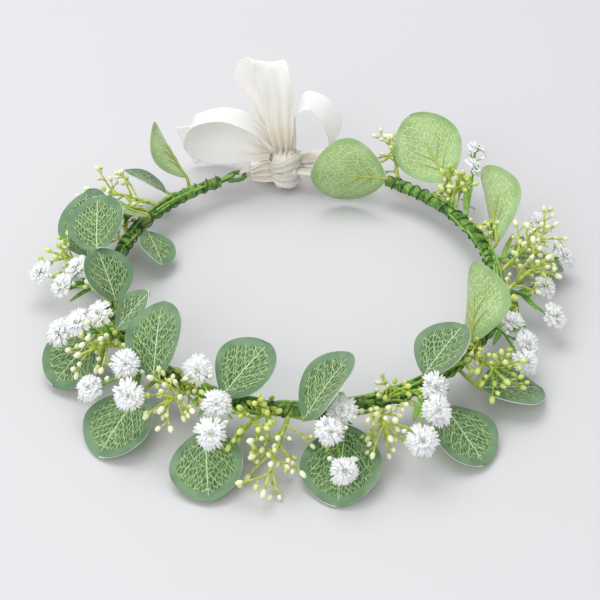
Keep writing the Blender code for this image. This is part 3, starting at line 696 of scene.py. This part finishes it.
def leaflet(base, way, length, width, droop):
    """A narrow leaf: base + length * s * way + half * v * side + lift * over.

    half = width * sqrt(s (1 - s)) * (1.25 - 0.5 s), and lift = 0.35 * half * v^2 - droop * s^2.
    """
    s = np.linspace(0.01, 0.99, 14)[:, None]
    v = np.linspace(-1.0, 1.0, 5)[None, :]
    side = unit(np.cross(way, UP) + rng.normal(0.0, 0.25, 3))
    over = unit(np.cross(side, way))
    half = width * np.sqrt(s * (1.0 - s)) * (0.75 + 0.5 * (1.0 - s))
    lift = 0.35 * half * v ** 2 - droop * s ** 2
    points = base + (length * s)[..., None] * way + (half * v)[..., None] * side + lift[..., None] * over
    points[..., 2] = np.maximum(points[..., 2], LEAFLET_LEAST_HEIGHT)
    return surface(points, across=v, tone=rng.uniform(0.0, 0.8))


white_petals = head_finish()
fresh_leaf = fresh_leaf_finish()
pick_green = stem_finish("pick_stems", srgb(96, 158, 56), srgb(142, 190, 76), srgb(232, 240, 214))


def flower_head(centre, facing, spin, scale):
    """All petals of one head: a surface for each ring, worked out as (petal, along, across) arrays."""
    side = unit(np.cross(facing, (0.3, 1.0, 0.2)))
    over = np.cross(facing, side)
    surfaces = []
    across = np.linspace(-1.0, 1.0, 5)[None, None, :]
    along = np.array((0.0, 0.35, 0.7, 1.0))[None, :, None]
    for count, share, rise, width in RINGS:
        a = (spin + (np.arange(count) + rng.uniform(-0.22, 0.22, count)) / count * math.tau)[:, None, None]
        lift = np.radians(rise + rng.uniform(-9.0, 9.0, count))[:, None, None]
        long = HEAD_RADIUS * share * scale * rng.uniform(0.88, 1.08, count)[:, None, None]
        teeth = np.where(np.arange(5) % 2 == 0, -0.10, 0.06)[None, None, :] * (along == 1.0)
        reach = long * (along + teeth)
        curl = 0.18 * along ** 2
        out = reach * np.cos(lift - curl)
        high = reach * np.sin(lift - curl) + 0.12 * long * (across * along) ** 2
        half = width / 2.0 * (0.35 + 0.65 * along) * across
        ahead = np.cos(a)[..., None] * side + np.sin(a)[..., None] * over
        beside = -np.sin(a)[..., None] * side + np.cos(a)[..., None] * over
        points = centre + out[..., None] * ahead + half[..., None] * beside + high[..., None] * facing
        # tone rises towards each petal's base, where the finish paints shade.
        tone = np.broadcast_to(0.55 * (1.0 - along), (count, 4, 5))
        rows = grid_quads(4, 5)
        starts = np.arange(count)[:, None, None] * 20
        surfaces.append((points.reshape(-1, 3), (rows[None] + starts).reshape(-1, 4), np.zeros((0, 3), int),
                         {"tone": tone.ravel()}))
        spin += RING_TWIST
    return surfaces


def ball(centre, axis, radius, length, sides=6, tone=1.0, start_tone=None):
    """An oval bud: rings of radius * sin(polar) along its axis, closed by a point at each end."""
    polar = np.array((0.25, 0.7, 1.25, 1.9, 2.6))
    path = centre + np.outer((1.0 - np.cos(polar)) / 2.0 * length, axis)
    first = tone if start_tone is None else start_tone
    tones = first + (tone - first) * np.array((0.0, 0.35, 1.0, 1.0, 1.0))
    return tube(path, radius * np.sin(polar), sides, tone=tones)


def flower_pick(number, root_angle, heads):
    """A pick's stems as one piece, and each of its heads as a piece of its own."""
    centres = [on_hoop(*head) for head in heads]
    middle = sum(centres) / len(centres)
    root = root_on_binding(root_angle, middle)
    fork = root + (middle - root) * 0.5 - 0.001 * UP
    t = np.linspace(0.0, 1.0, 14)
    stem = bezier([root, root + (fork - root) * 0.5 + 0.001 * UP, fork], t)
    surfaces = [tube(stem, 0.00095 - 0.0002 * t, 8, tone=0.0)]
    for index, (centre, (angle, out, up)) in enumerate(zip(centres, heads)):
        facing = unit(outward(angle) * 0.55 + UP * 0.80 + HEAD_LEAN + rng.normal(0.0, 0.10, 3))
        start = stem[-1 - 3 * index]
        foot = centre - facing * 0.0026
        stalk = bezier([start, start + (foot - start) * 0.55 - 0.0006 * UP, foot - facing * 0.0015, foot], t)
        surfaces.append(tube(stalk, 0.00062, 7, tone=0.1))
        cup = np.linspace(0.0, 1.0, 5)
        cup_path = foot + np.outer(cup * 0.0022, facing)
        surfaces.append(tube(cup_path, 0.0007 + 0.0013 * cup ** 0.7, 8, tone=0.15))
        petals = flower_head(centre - facing * 0.0012, facing, rng.uniform(0.0, 6.0), rng.uniform(0.94, 1.08))
        petals.append(ball(centre - facing * 0.0002, facing, 0.00062, 0.0018, tone=EYE_TONE))
        head = build(f"baby_breath_{number:02d}_{index + 1}", petals, [white_petals], "crown")
        thicken(head, PETAL_SHEET)
        side = unit(np.cross(facing, UP) + rng.normal(0.0, 0.3, 3))
        for way in (-1.0, 1.0):
            here = stalk[7]
            tip = here + unit(side * way + facing * 0.8) * rng.uniform(0.0035, 0.006)
            twig = bezier([here, (here + tip) / 2.0 + facing * 0.0005, tip], np.linspace(0.0, 1.0, 6))
            surfaces.append(tube(twig, 0.00036, 5, tone=0.1))
            surfaces.append(ball(tip, unit(tip - here), 0.00105, 0.0030, tone=1.0, start_tone=0.3))
    build(f"flower_stems_{number:02d}", surfaces, [pick_green], "crown",
          f"flower_pick_{number:02d}")
    forward = unit(fork - root)
    side = unit(np.cross(forward, UP))
    over = np.cross(side, forward)
    leaflets = []
    for k in range(5):
        a = rng.uniform(0.0, math.tau)
        way = unit(forward * rng.uniform(0.4, 1.0) + side * math.cos(a) + over * math.sin(a) * 0.7)
        leaflets.append(leaflet(stem[2 + 2 * k], way, rng.uniform(0.009, 0.015), rng.uniform(0.0022, 0.0032),
                                rng.uniform(0.0005, 0.003)))
    thicken(build(f"pick_leaves_{number:02d}", leaflets, [fresh_leaf], "crown"), LEAFLET_SHEET)


for number, (root_angle, heads) in FLOWER_PICKS.items():
    flower_pick(number, root_angle, heads)
print("flower heads:", sum(len(heads) for root_angle, heads in FLOWER_PICKS.values()))

# %% [markdown]
# ## Bud sprays
#
# The yellow-green sprays are moulded plastic: an arched stem with twigs set round it by the golden
# angle, each ending in one to three oval buds. A twig and its bud differ only in their tone, which the
# finish reads to go from green to cream.

# %% Bud picks
# root; tip's hoop angle, out, up; twig reach; number of twigs; phase in degrees
BUD_PICKS = {
    1: (143, 151, 0.034, 0.008, 0.011, 5, 20),
    2: (165, 166, 0.006, 0.010, 0.006, 4, 80),
    3: (182, 172, 0.034, 0.001, 0.010, 5, 140),
    4: (213, 215, 0.026, 0.010, 0.010, 5, 60),
    5: (239, 240, 0.024, 0.010, 0.010, 5, 40),
    6: (261, 257, 0.020, 0.006, 0.010, 5, 100),
    7: (266, 263, 0.040, -0.006, 0.011, 6, 50),
    8: (288, 287, 0.026, 0.006, 0.011, 6, 130),
    9: (322, 318, 0.024, 0.004, 0.010, 5, 30),
    10: (349, 357, 0.022, 0.014, 0.010, 5, 75),
    11: (0, 7, 0.029, 0.018, 0.010, 6, 160),
    12: (36, 38, 0.010, 0.013, 0.007, 5, 15),
    13: (58, 65, 0.021, 0.012, 0.009, 5, 110),
}
GOLDEN_ANGLE = math.radians(137.5)
BUD_LEAST_HEIGHT = 0.0026
SHORT_TWIG = 0.009      # a twig shorter than this may have one side stem only
bud_cream = stem_finish("bud_spray", srgb(156, 180, 62), srgb(198, 212, 104), srgb(240, 238, 204))
bud_lime = stem_finish("bud_spray_lime", srgb(138, 168, 50), srgb(186, 206, 88), srgb(214, 224, 134))


def above_table(point):
    """The same point, lifted to at least the height that keeps a bud off the table."""
    return np.array((point[0], point[1], max(point[2], BUD_LEAST_HEIGHT)))


def twig_with_buds(start, way, reach, cream):
    """An arched twig with one bud at its tip and one or two on short side stems near it."""
    tip = above_table(start + way * reach)
    bend = unit(np.cross(way, UP) + rng.normal(0.0, 0.4, 3)) * reach * rng.uniform(-0.2, 0.2)
    t = np.linspace(0.0, 1.0, 11)
    path = bezier([start, (start + tip) / 2.0 + bend + UP * reach * 0.12, tip], t)
    pieces = [tube(path, 0.00060 - 0.00016 * t, 6, tone=0.05 + 0.12 * t)]
    end = unit(path[-1] - path[-2])
    fat = rng.uniform(0.00110, 0.00145)
    pieces.append(ball(tip - end * 0.0003, end, fat, fat * rng.uniform(2.5, 3.2), tone=cream,
                       start_tone=0.35))
    for share in (0.5, 0.78)[:rng.integers(1, 3)] if reach < SHORT_TWIG else (0.55, 0.8):
        here = path[int(share * 10)]
        aside = unit(unit(np.cross(way, rng.normal(0.0, 1.0, 3))) + way * 0.8)
        far = above_table(here + aside * rng.uniform(0.0026, 0.0042))
        side_stem = bezier([here, (here + far) / 2.0 + way * 0.0003, far], t[::3])
        pieces.append(tube(side_stem, 0.00038, 5, tone=0.15))
        fat = rng.uniform(0.00095, 0.00130)
        pieces.append(ball(far, unit(far - here), fat, fat * 2.7, tone=cream * rng.uniform(0.6, 1.0),
                           start_tone=0.3))
    return pieces


def bud_pick(number, root_angle, tip_angle, out, up, reach, twigs, phase):
    """One arched stem with its twigs and buds."""
    tip = on_hoop(tip_angle, out, up)
    root = root_on_binding(root_angle, tip)
    arch = [root, root + (tip - root) * 0.5 + 0.003 * UP, tip]
    t = np.linspace(0.0, 1.0, 16)
    pieces = [tube(bezier(arch, t), 0.00105 - 0.0005 * t, 8, tone=0.0)]
    forward = unit(tip - root)
    side = unit(np.cross(forward, UP))
    over = np.cross(side, forward)
    pieces.append(ball(tip - forward * 0.0004, forward, 0.0014, 0.0042, tone=1.0, start_tone=0.3))
    for k in range(twigs):
        a = math.radians(phase) + GOLDEN_ANGLE * k
        way = unit(forward * 0.9 + side * math.cos(a) + over * math.sin(a))
        start = bezier(arch, np.array((0.3 + 0.6 * k / twigs,)))[0]
        long = (reach * 1.35 + 0.002) * (1.0 - 0.35 * k / twigs)
        pieces += twig_with_buds(start, way, long, rng.uniform(0.7, 1.0))
        b = a + 2.3
        way = unit(forward * 0.7 + side * math.cos(b) * 1.2 + over * math.sin(b))
        low = bezier(arch, np.array((0.12 + 0.6 * k / twigs,)))[0]
        pieces += twig_with_buds(low, way, long * rng.uniform(0.5, 0.95), rng.uniform(0.5, 1.0))
    finish = bud_lime if number % 3 == 0 else bud_cream
    build(f"bud_spray_{number:02d}", pieces, [finish], "crown", f"bud_pick_{number:02d}")


for number, row in BUD_PICKS.items():
    bud_pick(number, *row)
print("bud sprays:", len(BUD_PICKS))

# %% [markdown]
# ## Twigs over the hoop
#
# On a crown bound by hand, side twigs of the sprays get caught under the tape and lie over the hoop.
# They could be more picks, but a pick reaches outward on an arched stem. So a sprig is three twigs
# from one point of the winding, aimed along the hoop. The tape stays bare next to both eyelets.

# %% Sprigs
# hoop angle, place round the wire in degrees (0 is outward, 90 up), heading along the hoop
SPRIGS = (
    (148, 60, 1), (160, 20, -1), (174, 40, 1), (197, 60, -1), (206, 30, 1), (224, 70, -1), (236, 40, 1),
    (244, 80, -1), (256, 50, 1), (282, 70, -1), (291, 40, 1), (297, 80, -1), (309, 60, 1), (327, 50, -1),
    (338, 30, 1), (346, 80, -1), (12, 40, 1), (22, 70, -1), (34, 30, 1), (44, 60, -1))
TWIGS_IN_SPRIG = 3


def sprig(number, angle, spin, heading):
    """Twigs from one point on the winding, each aimed along the hoop and a little outward."""
    a, p = math.radians(angle), math.radians(spin)
    tangent = heading * np.array((-math.sin(a), math.cos(a), 0.0))
    off = outward(angle) * math.cos(p) + UP * math.sin(p)
    base = on_hoop(angle) + off * BINDING_RADIUS * 0.9
    pieces = []
    for _ in range(TWIGS_IN_SPRIG):
        way = unit(tangent * rng.uniform(0.9, 1.4) + off * rng.uniform(0.3, 0.9) + rng.normal(0.0, 0.25, 3))
        pieces += twig_with_buds(base, way, rng.uniform(0.009, 0.016), rng.uniform(0.35, 0.95))
    build(f"hoop_sprig_{number:02d}", pieces, [bud_lime if number % 2 else bud_cream], "crown")


for number, row in enumerate(SPRIGS, start=1):
    sprig(number, *row)
print("sprigs over the hoop:", len(SPRIGS))

# %% [markdown]
# ## The satin ribbon
#
# A ribbon 25 mm wide keeps its width when it is tied: where it narrows at the knot, it folds into
# pleats. So each piece is a strip along a smooth centreline, and its pleats are as deep as the missing
# width needs: for pleats of pitch p that fit a share r of the width, the depth is p / 4 * sqrt(1 / r^2 - 1).

# %% Ribbon pieces
RIBBON_WIDTH = 0.025
RIBBON_SHEET = 0.0003
RIBBON_ROWS, RIBBON_COLUMNS = 90, 27
PLEATS = 3.0
# centreline point, width and the direction of the width, at each station
STRIPS = {
    "strap_left": (
        ((-0.0285, 0.0878, 0.0140), 0.0062, (0.0, 0.1, 1.0)),
        ((-0.0225, 0.0905, 0.0135), 0.0110, (0.0, 0.2, 1.0)),
        ((-0.0165, 0.0935, 0.0125), 0.0125, (0.0, 0.2, 1.0))),
    "strap_right": (
        ((0.0290, 0.0876, 0.0140), 0.0046, (0.0, 1.0, -0.8)),
        ((0.0140, 0.0900, 0.0125), 0.0070, (0.0, 1.0, -0.8)),
        ((-0.0030, 0.0940, 0.0120), 0.0080, (0.0, 1.0, -0.5))),
    "loop_left": (
        ((-0.0150, 0.0945, 0.0250), 0.0070, (0.1, 1.0, 0.0)),
        ((-0.0255, 0.0965, 0.0390), 0.0190, (0.0, 1.0, 0.0)),
        ((-0.0420, 0.1000, 0.0435), 0.0245, (0.0, 1.0, -0.2)),
        ((-0.0575, 0.1000, 0.0400), 0.0250, (0.15, 1.0, -0.2)),
        ((-0.0615, 0.1005, 0.0320), 0.0250, (0.2, 1.0, 0.25)),
        ((-0.0520, 0.1020, 0.0250), 0.0240, (0.1, 1.0, 0.9)),
        ((-0.0350, 0.1005, 0.0245), 0.0225, (0.0, 1.0, 0.95)),
        ((-0.0170, 0.0950, 0.0225), 0.0080, (0.0, 1.0, 0.2))),
    "loop_right": (
        ((-0.0065, 0.0970, 0.0240), 0.0070, (0.0, 1.0, 0.0)),
        ((-0.0050, 0.1020, 0.0400), 0.0180, (0.2, 1.0, 0.0)),
        ((0.0020, 0.1050, 0.0480), 0.0230, (0.2, 1.0, 0.0)),
        ((0.0120, 0.1060, 0.0420), 0.0240, (0.3, 1.0, 0.0)),
        ((0.0170, 0.1060, 0.0290), 0.0240, (0.3, 1.0, 0.0)),
        ((0.0125, 0.1040, 0.0170), 0.0200, (0.2, 1.0, 0.0)),
        ((-0.0020, 0.0970, 0.0160), 0.0075, (0.0, 1.0, 0.0))),
    "loop_top": (
        ((-0.0112, 0.0925, 0.0245), 0.0080, (1.0, 0.0, 0.0)),
        ((-0.0125, 0.0900, 0.0450), 0.0150, (1.0, 0.15, 0.0)),
        ((-0.0145, 0.0910, 0.0640), 0.0175, (1.0, 0.2, -0.15)),
        ((-0.0190, 0.0970, 0.0760), 0.0205, (1.0, 0.25, -0.35)),
        ((-0.0260, 0.1070, 0.0655), 0.0200, (1.0, 0.4, -0.1)),
        ((-0.0205, 0.1130, 0.0475), 0.0170, (1.0, 0.1, 0.0)),
        ((-0.0125, 0.0995, 0.0245), 0.0075, (1.0, 0.0, 0.0))),
    "tail_left": (
        ((-0.0180, 0.0995, 0.0140), 0.0090, (0.0, 0.0, 1.0)),
        ((-0.0300, 0.1130, 0.0165), 0.0180, (0.0, 0.0, 1.0)),
        ((-0.0460, 0.1175, 0.0150), 0.0235, (0.0, 0.0, 1.0)),
        ((-0.0660, 0.1155, 0.0140), 0.0240, (-0.3, 0.0, 1.0))),
    "tail_back": (
        ((-0.0140, 0.0990, 0.0060), 0.0100, (1.0, 0.0, 0.0)),
        ((-0.0165, 0.1080, 0.0018), 0.0200, (1.0, 0.0, 0.0)),
        ((-0.0180, 0.1200, 0.0010), 0.0240, (1.0, 0.0, 0.0)),
        ((-0.0185, 0.1335, 0.0010), 0.0245, (1.0, 0.1, 0.0))),
}


def satin_finish():
    """Ivory satin: a soft sheen, fine lengthwise warp threads, and painted warm peach shade where the folds
    close.
    """
    paint = Paint("ivory_satin", Subsurface_Weight=0.5, Subsurface_Scale=0.005, Sheen_Weight=0.35,
                  Sheen_Roughness=0.35, Specular_IOR_Level=0.55, Anisotropic=0.4)
    paint.shader.inputs["Subsurface Radius"].default_value = (1.0, 0.9, 0.75)
    along, across = paint.attribute("along"), paint.attribute("across")
    warp = paint.noise(paint.vector(across * 9.0, along * 0.6), 1.0)
    weft = paint.noise(paint.vector(across * 0.5, along * 7.0), 1.0)
    closed = paint.attribute("gather")
    ivory = paint.mix(paint.step(warp, 0.3, 0.7), srgb(248, 246, 241), srgb(252, 251, 248))
    # Painted shade: warm peach where the ribbon is gathered into folds, strongest in the knot's crumples.
    colour = paint.mix(closed * 0.55, ivory, srgb(250, 230, 196))
    edge = paint.step(paint.attribute("selvedge"), 0.86, 0.96)
    colour = paint.mix(edge * 0.6, colour, srgb(254, 252, 244))
    paint.bump(warp * 0.6 + weft * 0.4 + edge * 0.5, 0.00010, 0.7)
    return paint.set(Base_Color=colour, Roughness=paint.step(warp, 0.25, 0.75, 0.30, 0.44))


satin = satin_finish()


def smooth(rows, t):
    """Values along given rows, by Catmull-Rom through every row, at each t from 0 to 1."""
    rows = np.asarray(rows, float)
    rows = np.vstack([2 * rows[0] - rows[1], rows, 2 * rows[-1] - rows[-2]])
    at = np.clip(t, 0.0, 1.0) * (len(rows) - 3)
    k = np.minimum(at.astype(int), len(rows) - 4)
    f = (at - k)[:, None]
    a, b, c, d = (rows[k + i] for i in range(4))
    return 0.5 * (2 * b + (c - a) * f + (2 * a - 5 * b + 4 * c - d) * f ** 2
                  + (3 * b - a - 3 * c + d) * f ** 3)


def run_along(path):
    """How far along a path each of its points is."""
    return np.concatenate([[0.0], np.cumsum(np.linalg.norm(np.diff(path, axis=0), axis=1))])


def ribbon_points(stations, seed, soft, tip_cut):
    """A pleated strip: centre + v * width / 2 * way + (pleats + soft waves) * normal.

    tip_cut slants the free end, by this much at one edge.
    """
    t = np.linspace(0.0, 1.0, RIBBON_ROWS)
    v = np.linspace(-1.0, 1.0, RIBBON_COLUMNS)[None, :]
    centre, width, way = (smooth([s[i] if i != 1 else (s[1],) for s in stations], t) for i in range(3))
    along = unit(np.gradient(centre, axis=0))
    way = unit(way - along * np.sum(along * way, axis=1, keepdims=True))
    normal = np.cross(along, way)
    run = run_along(centre)
    fit = np.clip(width / RIBBON_WIDTH, 0.25, 1.0)
    gather = np.clip((1.0 - fit) / 0.5, 0.0, 1.0)
    pitch = width / PLEATS
    depth = pitch / 4.0 * np.sqrt(1.0 / fit ** 2 - 1.0)
    draw = np.random.default_rng(seed)
    phase = draw.uniform(0.0, math.tau) + 0.8 * np.sin(run * 120.0)[:, None]
    fold = depth * np.sin(math.pi * PLEATS * v + phase) * np.minimum(1.0, 1.2 * gather ** 3)
    waves = soft * wobble(run[:, None] * 90.0, v * 1.4, seed + 50, 6)
    cut = tip_cut * t[:, None] ** 8 * v
    points = (centre[:, None] + (v * width / 2.0)[..., None] * way[:, None]
              + (fold + waves * (0.3 + fit))[..., None] * normal[:, None] + cut[..., None] * along[:, None])
    # gather ** 2.5 also sets how strongly the finish paints warm shade into the pleats.
    tones = {"along": run[:, None] * 1000.0, "across": v * RIBBON_WIDTH * 500.0, "gather": gather ** 2.5,
             "selvedge": np.abs(v)}
    return points, tones, run[-1]


SHEETS = {
    "strap_left": dict(held="stretched", rests_on=("bow_knot", "hoop_wire")),
    "strap_right": dict(held="stretched", rests_on=("bow_knot", "hoop_wire")),
    "loop_left": dict(held="folded", rests_on=("bow_knot",)),
    "loop_right": dict(held="folded", rests_on=("bow_knot",)),
    "loop_top": dict(held="folded", rests_on=("bow_knot",)),
    "tail_left": dict(held="hung", rests_on=("bow_knot",)),
    "tail_back": dict(held="laid", rests_on=("bow_knot",)),
}
strips = {}
for seed, (name, stations) in enumerate(STRIPS.items()):
    soft = 0.0002 if name == "tail_back" else 0.0006
    tip_cut = 0.004 if "tail" in name else 0.0
    points, tones, length = ribbon_points(stations, seed, soft, tip_cut)
    body = None if "strap" in name else name if "tail" in name else "bow"
    strip = build(f"satin_{name}", [surface(points, **tones)], [satin], body, f"ribbon_{name}")
    thicken(strip, RIBBON_SHEET)
    strips[name] = (strip, length)
    print(f"{name}: {length * 1000:.0f} mm long")

# %% The folds through the eyelets
TURN_RADIUS = 0.0021
EYELET_REACH = 0.0137   # from the end of the winding to the eyelet's tip
FOLD_LEAD = 0.0030


def fold_points(side):
    """The ribbon through an eyelet: half a turn round the wire's tip, then straight towards the knot."""
    tip = on_hoop(BINDING_START if side < 0 else BINDING_END)
    a = math.radians(BINDING_START)
    along = np.array((-side * math.sin(a), -math.cos(a), 0.0))
    across = np.array((along[1], -along[0], 0.0))
    tip = tip + along * EYELET_REACH
    phi = np.linspace(0.0, math.pi, 20)
    bend = tip - np.outer(np.sin(phi), along) * TURN_RADIUS + np.outer(np.cos(phi), UP) * TURN_RADIUS
    lead = np.linspace(1.0, 0.0, 8)[:-1, None]
    upper = bend[0] + lead * along * FOLD_LEAD
    lower = bend[-1] + lead[::-1] * along * FOLD_LEAD
    path = np.concatenate([upper, bend, lower])
    run = run_along(path)
    v = np.linspace(-1.0, 1.0, 21)[None, :]
    spread = 0.0013 + 0.0008 * np.abs(np.linspace(-1.0, 1.0, len(path)))[:, None] ** 2
    pleat = 0.0003 * np.sin(v * 14.0)
    normal = unit(path - tip)
    points = path[:, None] + (v * spread)[..., None] * across + pleat[..., None] * normal[:, None]
    # gather 0.8 gives the turns through the eyelets a steady painted warm shade.
    tones = {"along": run[:, None] * 1000.0, "across": v * 12.0, "gather": 0.8, "selvedge": np.abs(v)}
    return points, tones


for side, name in ((-1, "left"), (1, "right")):
    points, tones = fold_points(side)
    fold = build(f"satin_turn_{name}", [surface(points, **tones)], [satin], "crown",
                 f"ribbon_turn_{name}")
    thicken(fold, RIBBON_SHEET)

# %% [markdown]
# ## The knot
#
# The knot is the ribbon's own middle, pulled tight: a crumpled core with bands of folds over it. It is
# a closed form whose radius is folded by sharp ridges that run up it, and two bands go round it.


# %% Knot and its bands
def knot_core(centre, size, seed):
    """A closed lump: a superellipsoid whose radius has ridges that run up it, deeper at its ends."""
    polar = np.linspace(0.02, 0.98, 60)[:, None] * math.pi
    turn = np.arange(96)[None, :] / 96 * math.tau
    ridge = np.abs(np.sin(turn * 5.0 + 1.6 * np.cos(polar) + 0.8 * wobble(polar * 2.0, turn, seed)))
    ripple = wobble(polar * 5.0, np.sin(turn) * 3.0, seed + 1)
    reach = 0.93 + 0.13 * (1.0 - ridge) ** 2 - 0.10 * ridge * (0.3 + np.abs(np.cos(polar))) + 0.03 * ripple
    x = np.sign(np.cos(turn)) * np.abs(np.cos(turn)) ** 0.85 * np.sin(polar) ** 0.75
    y = np.sign(np.sin(turn)) * np.abs(np.sin(turn)) ** 0.85 * np.sin(polar) ** 0.75
    z = np.cos(polar) * (1.0 + 0.0 * turn)
    points = centre + reach[..., None] * np.stack([x, y, z], axis=-1) * np.asarray(size) / 2.0
    rows, columns = points.shape[:2]
    flat = points.reshape(-1, 3)
    poles = np.array((points[0].mean(axis=0), points[-1].mean(axis=0)))
    here = np.arange(columns)
    ahead = (here + 1) % columns
    top = np.stack([here, np.full(columns, rows * columns), ahead], axis=1)
    far = (rows - 1) * columns
    bottom = np.stack([far + here, far + ahead, np.full(columns, rows * columns + 1)], axis=1)
    quads = grid_quads(rows, columns, wrap=True)
    # gather rises in the knot's valleys, where the finish paints warm shade.
    tones = {"along": polar * 6.0, "across": turn * 8.0, "gather": np.clip(0.25 + 0.7 * ridge, 0.0, 1.0),
             "selvedge": 0.0}
    tones = {key: np.concatenate([np.broadcast_to(value, (rows, columns)).ravel(), [0.0, 0.0]])
             for key, value in tones.items()}
    return np.concatenate([flat, poles]), quads, np.concatenate([top[:, ::-1], bottom[:, ::-1]]), tones


KNOT_CENTRE = np.array((-0.010, 0.0945, 0.0140))
KNOT_SIZE = (0.0160, 0.0128, 0.0255)
build("bow_knot", [knot_core(KNOT_CENTRE, KNOT_SIZE, 5)], [satin], "bow", "ribbon_knot")


def band_points(shift, tilt, width, seed, swell):
    """A band over the knot: a closed loop in the X-Y plane's tilt, wider than it is deep, with pleats."""
    turn = np.linspace(0.0, math.tau, 72)
    v = np.linspace(-1.0, 1.0, 17)[None, :]
    ring = np.stack([np.cos(turn) * KNOT_SIZE[0] / 2.0 * swell, np.sin(turn) * KNOT_SIZE[1] / 2.0 * swell,
                     np.cos(turn + 0.5) * tilt], axis=-1)
    normal = unit(np.stack([np.cos(turn), np.sin(turn), 0.0 * turn], axis=-1))
    crumple = 0.0005 * np.sin(v * 7.0 + 1.5 * np.sin(turn[:, None] * 2.0)) + 0.0003 * wobble(
        turn[:, None] * 2.0, v * 2.0, seed)
    breadth = width / 2.0 * (1.0 + 0.22 * np.sin(turn * 2.0 + seed))[:, None]
    points = ((KNOT_CENTRE + ring)[:, None] + (v * breadth)[..., None] * UP
              + crumple[..., None] * normal[:, None])
    points[..., 2] += shift
    # gather 0.75 gives the bands a steady painted warm shade.
    tones = {"along": turn[:, None] * 7.0, "across": v * 12.0, "gather": 0.75, "selvedge": np.abs(v)}
    return points, tones


# height over the knot's centre, tilt, width, size as a share of the knot's
BANDS = ((0.0035, 0.0022, 0.0085, 1.03), (-0.0045, -0.0018, 0.0075, 1.02))
for number, (shift, tilt, width, swell) in enumerate(BANDS):
    points, tones = band_points(shift, tilt, width, number + 3, swell)
    band = build(f"knot_band_{number + 1}", [surface(points, **tones)], [satin], "bow")
    thicken(band, RIBBON_SHEET)

# %% The straps' placement baked into their meshes
for name, words in SHEETS.items():
    strip, length = strips[name]
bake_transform(strips["strap_left"][0])
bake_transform(strips["strap_right"][0])

# %% [markdown]
# ## Table, light and camera
#
# The crown lies on a plain pale table under very soft light: a bright sky all round, a wide soft light
# above, and a weaker one from the front left, so that the leaves keep a gentle sheen and their shadows
# stay light.


# %% Table
def table_finish():
    """Pale matt paint with a trace of mottling."""
    paint = Paint("pale_table", Roughness=0.8, Specular_IOR_Level=0.2)
    mottle = paint.noise(paint.place(1.0), 2.0)
    return paint.set(Base_Color=paint.mix(mottle, srgb(198, 198, 200), srgb(206, 205, 207)))


TABLE_REACH = 3.0
corners = TABLE_REACH * np.array([[(-1.0, -1.0, 0.0), (-1.0, 1.0, 0.0)], [(1.0, -1.0, 0.0), (1.0, 1.0, 0.0)]])
table = build("table", [surface(corners)], [table_finish()])


# %% Light and camera
def aim(obj, place, target):
    """Puts a light or camera at a place, looking at a target."""
    place, target = np.asarray(place, float), np.asarray(target, float)
    back = unit(place - target)
    right = unit(np.cross(UP, back)) if abs(back[2]) < 0.999 else np.array((1.0, 0.0, 0.0))
    over = np.cross(back, right)
    matrix = np.eye(4)
    matrix[:3, 0], matrix[:3, 1], matrix[:3, 2], matrix[:3, 3] = right, over, back, place
    obj.matrix_world = Matrix(matrix.tolist())


def soft_light(name, place, target, size, power, colour):
    lamp = bpy.data.lights.new(name, "AREA")
    lamp.shape, lamp.size, lamp.energy, lamp.color = "DISK", size, power, colour
    obj = bpy.data.objects.new(name, lamp)
    bpy.context.scene.collection.objects.link(obj)
    aim(obj, place, target)


soft_light("overhead_light", (-0.25, 0.35, 1.25), (0.0, 0.0, 0.0), 1.1, 10.5, (1.0, 0.995, 0.985))
soft_light("front_light", (-0.6, -1.1, 0.95), (0.0, 0.0, 0.03), 1.1, 8.5, (1.0, 1.0, 1.0))
world = bpy.data.worlds.new("bright_room")
world.use_nodes = True
world.node_tree.nodes["Background"].inputs["Color"].default_value = (0.96, 0.97, 1.0, 1.0)
world.node_tree.nodes["Background"].inputs["Strength"].default_value = 0.74
bpy.context.scene.world = world
bpy.context.scene.view_settings.view_transform = "Standard"

VIEW_ELEVATION, VIEW_DISTANCE, VIEW_LENS = 39.7, 0.5544, 72.0
target = np.array((-0.0018, -0.026, 0.02))
e = math.radians(VIEW_ELEVATION)
camera = bpy.data.objects.new("camera", bpy.data.cameras.new("camera"))
bpy.context.scene.collection.objects.link(camera)
camera.data.lens = VIEW_LENS
camera.data.sensor_width = 36.0
aim(camera, target + VIEW_DISTANCE * np.array((0.0, -math.cos(e), math.sin(e))), target)
bpy.context.scene.camera = camera
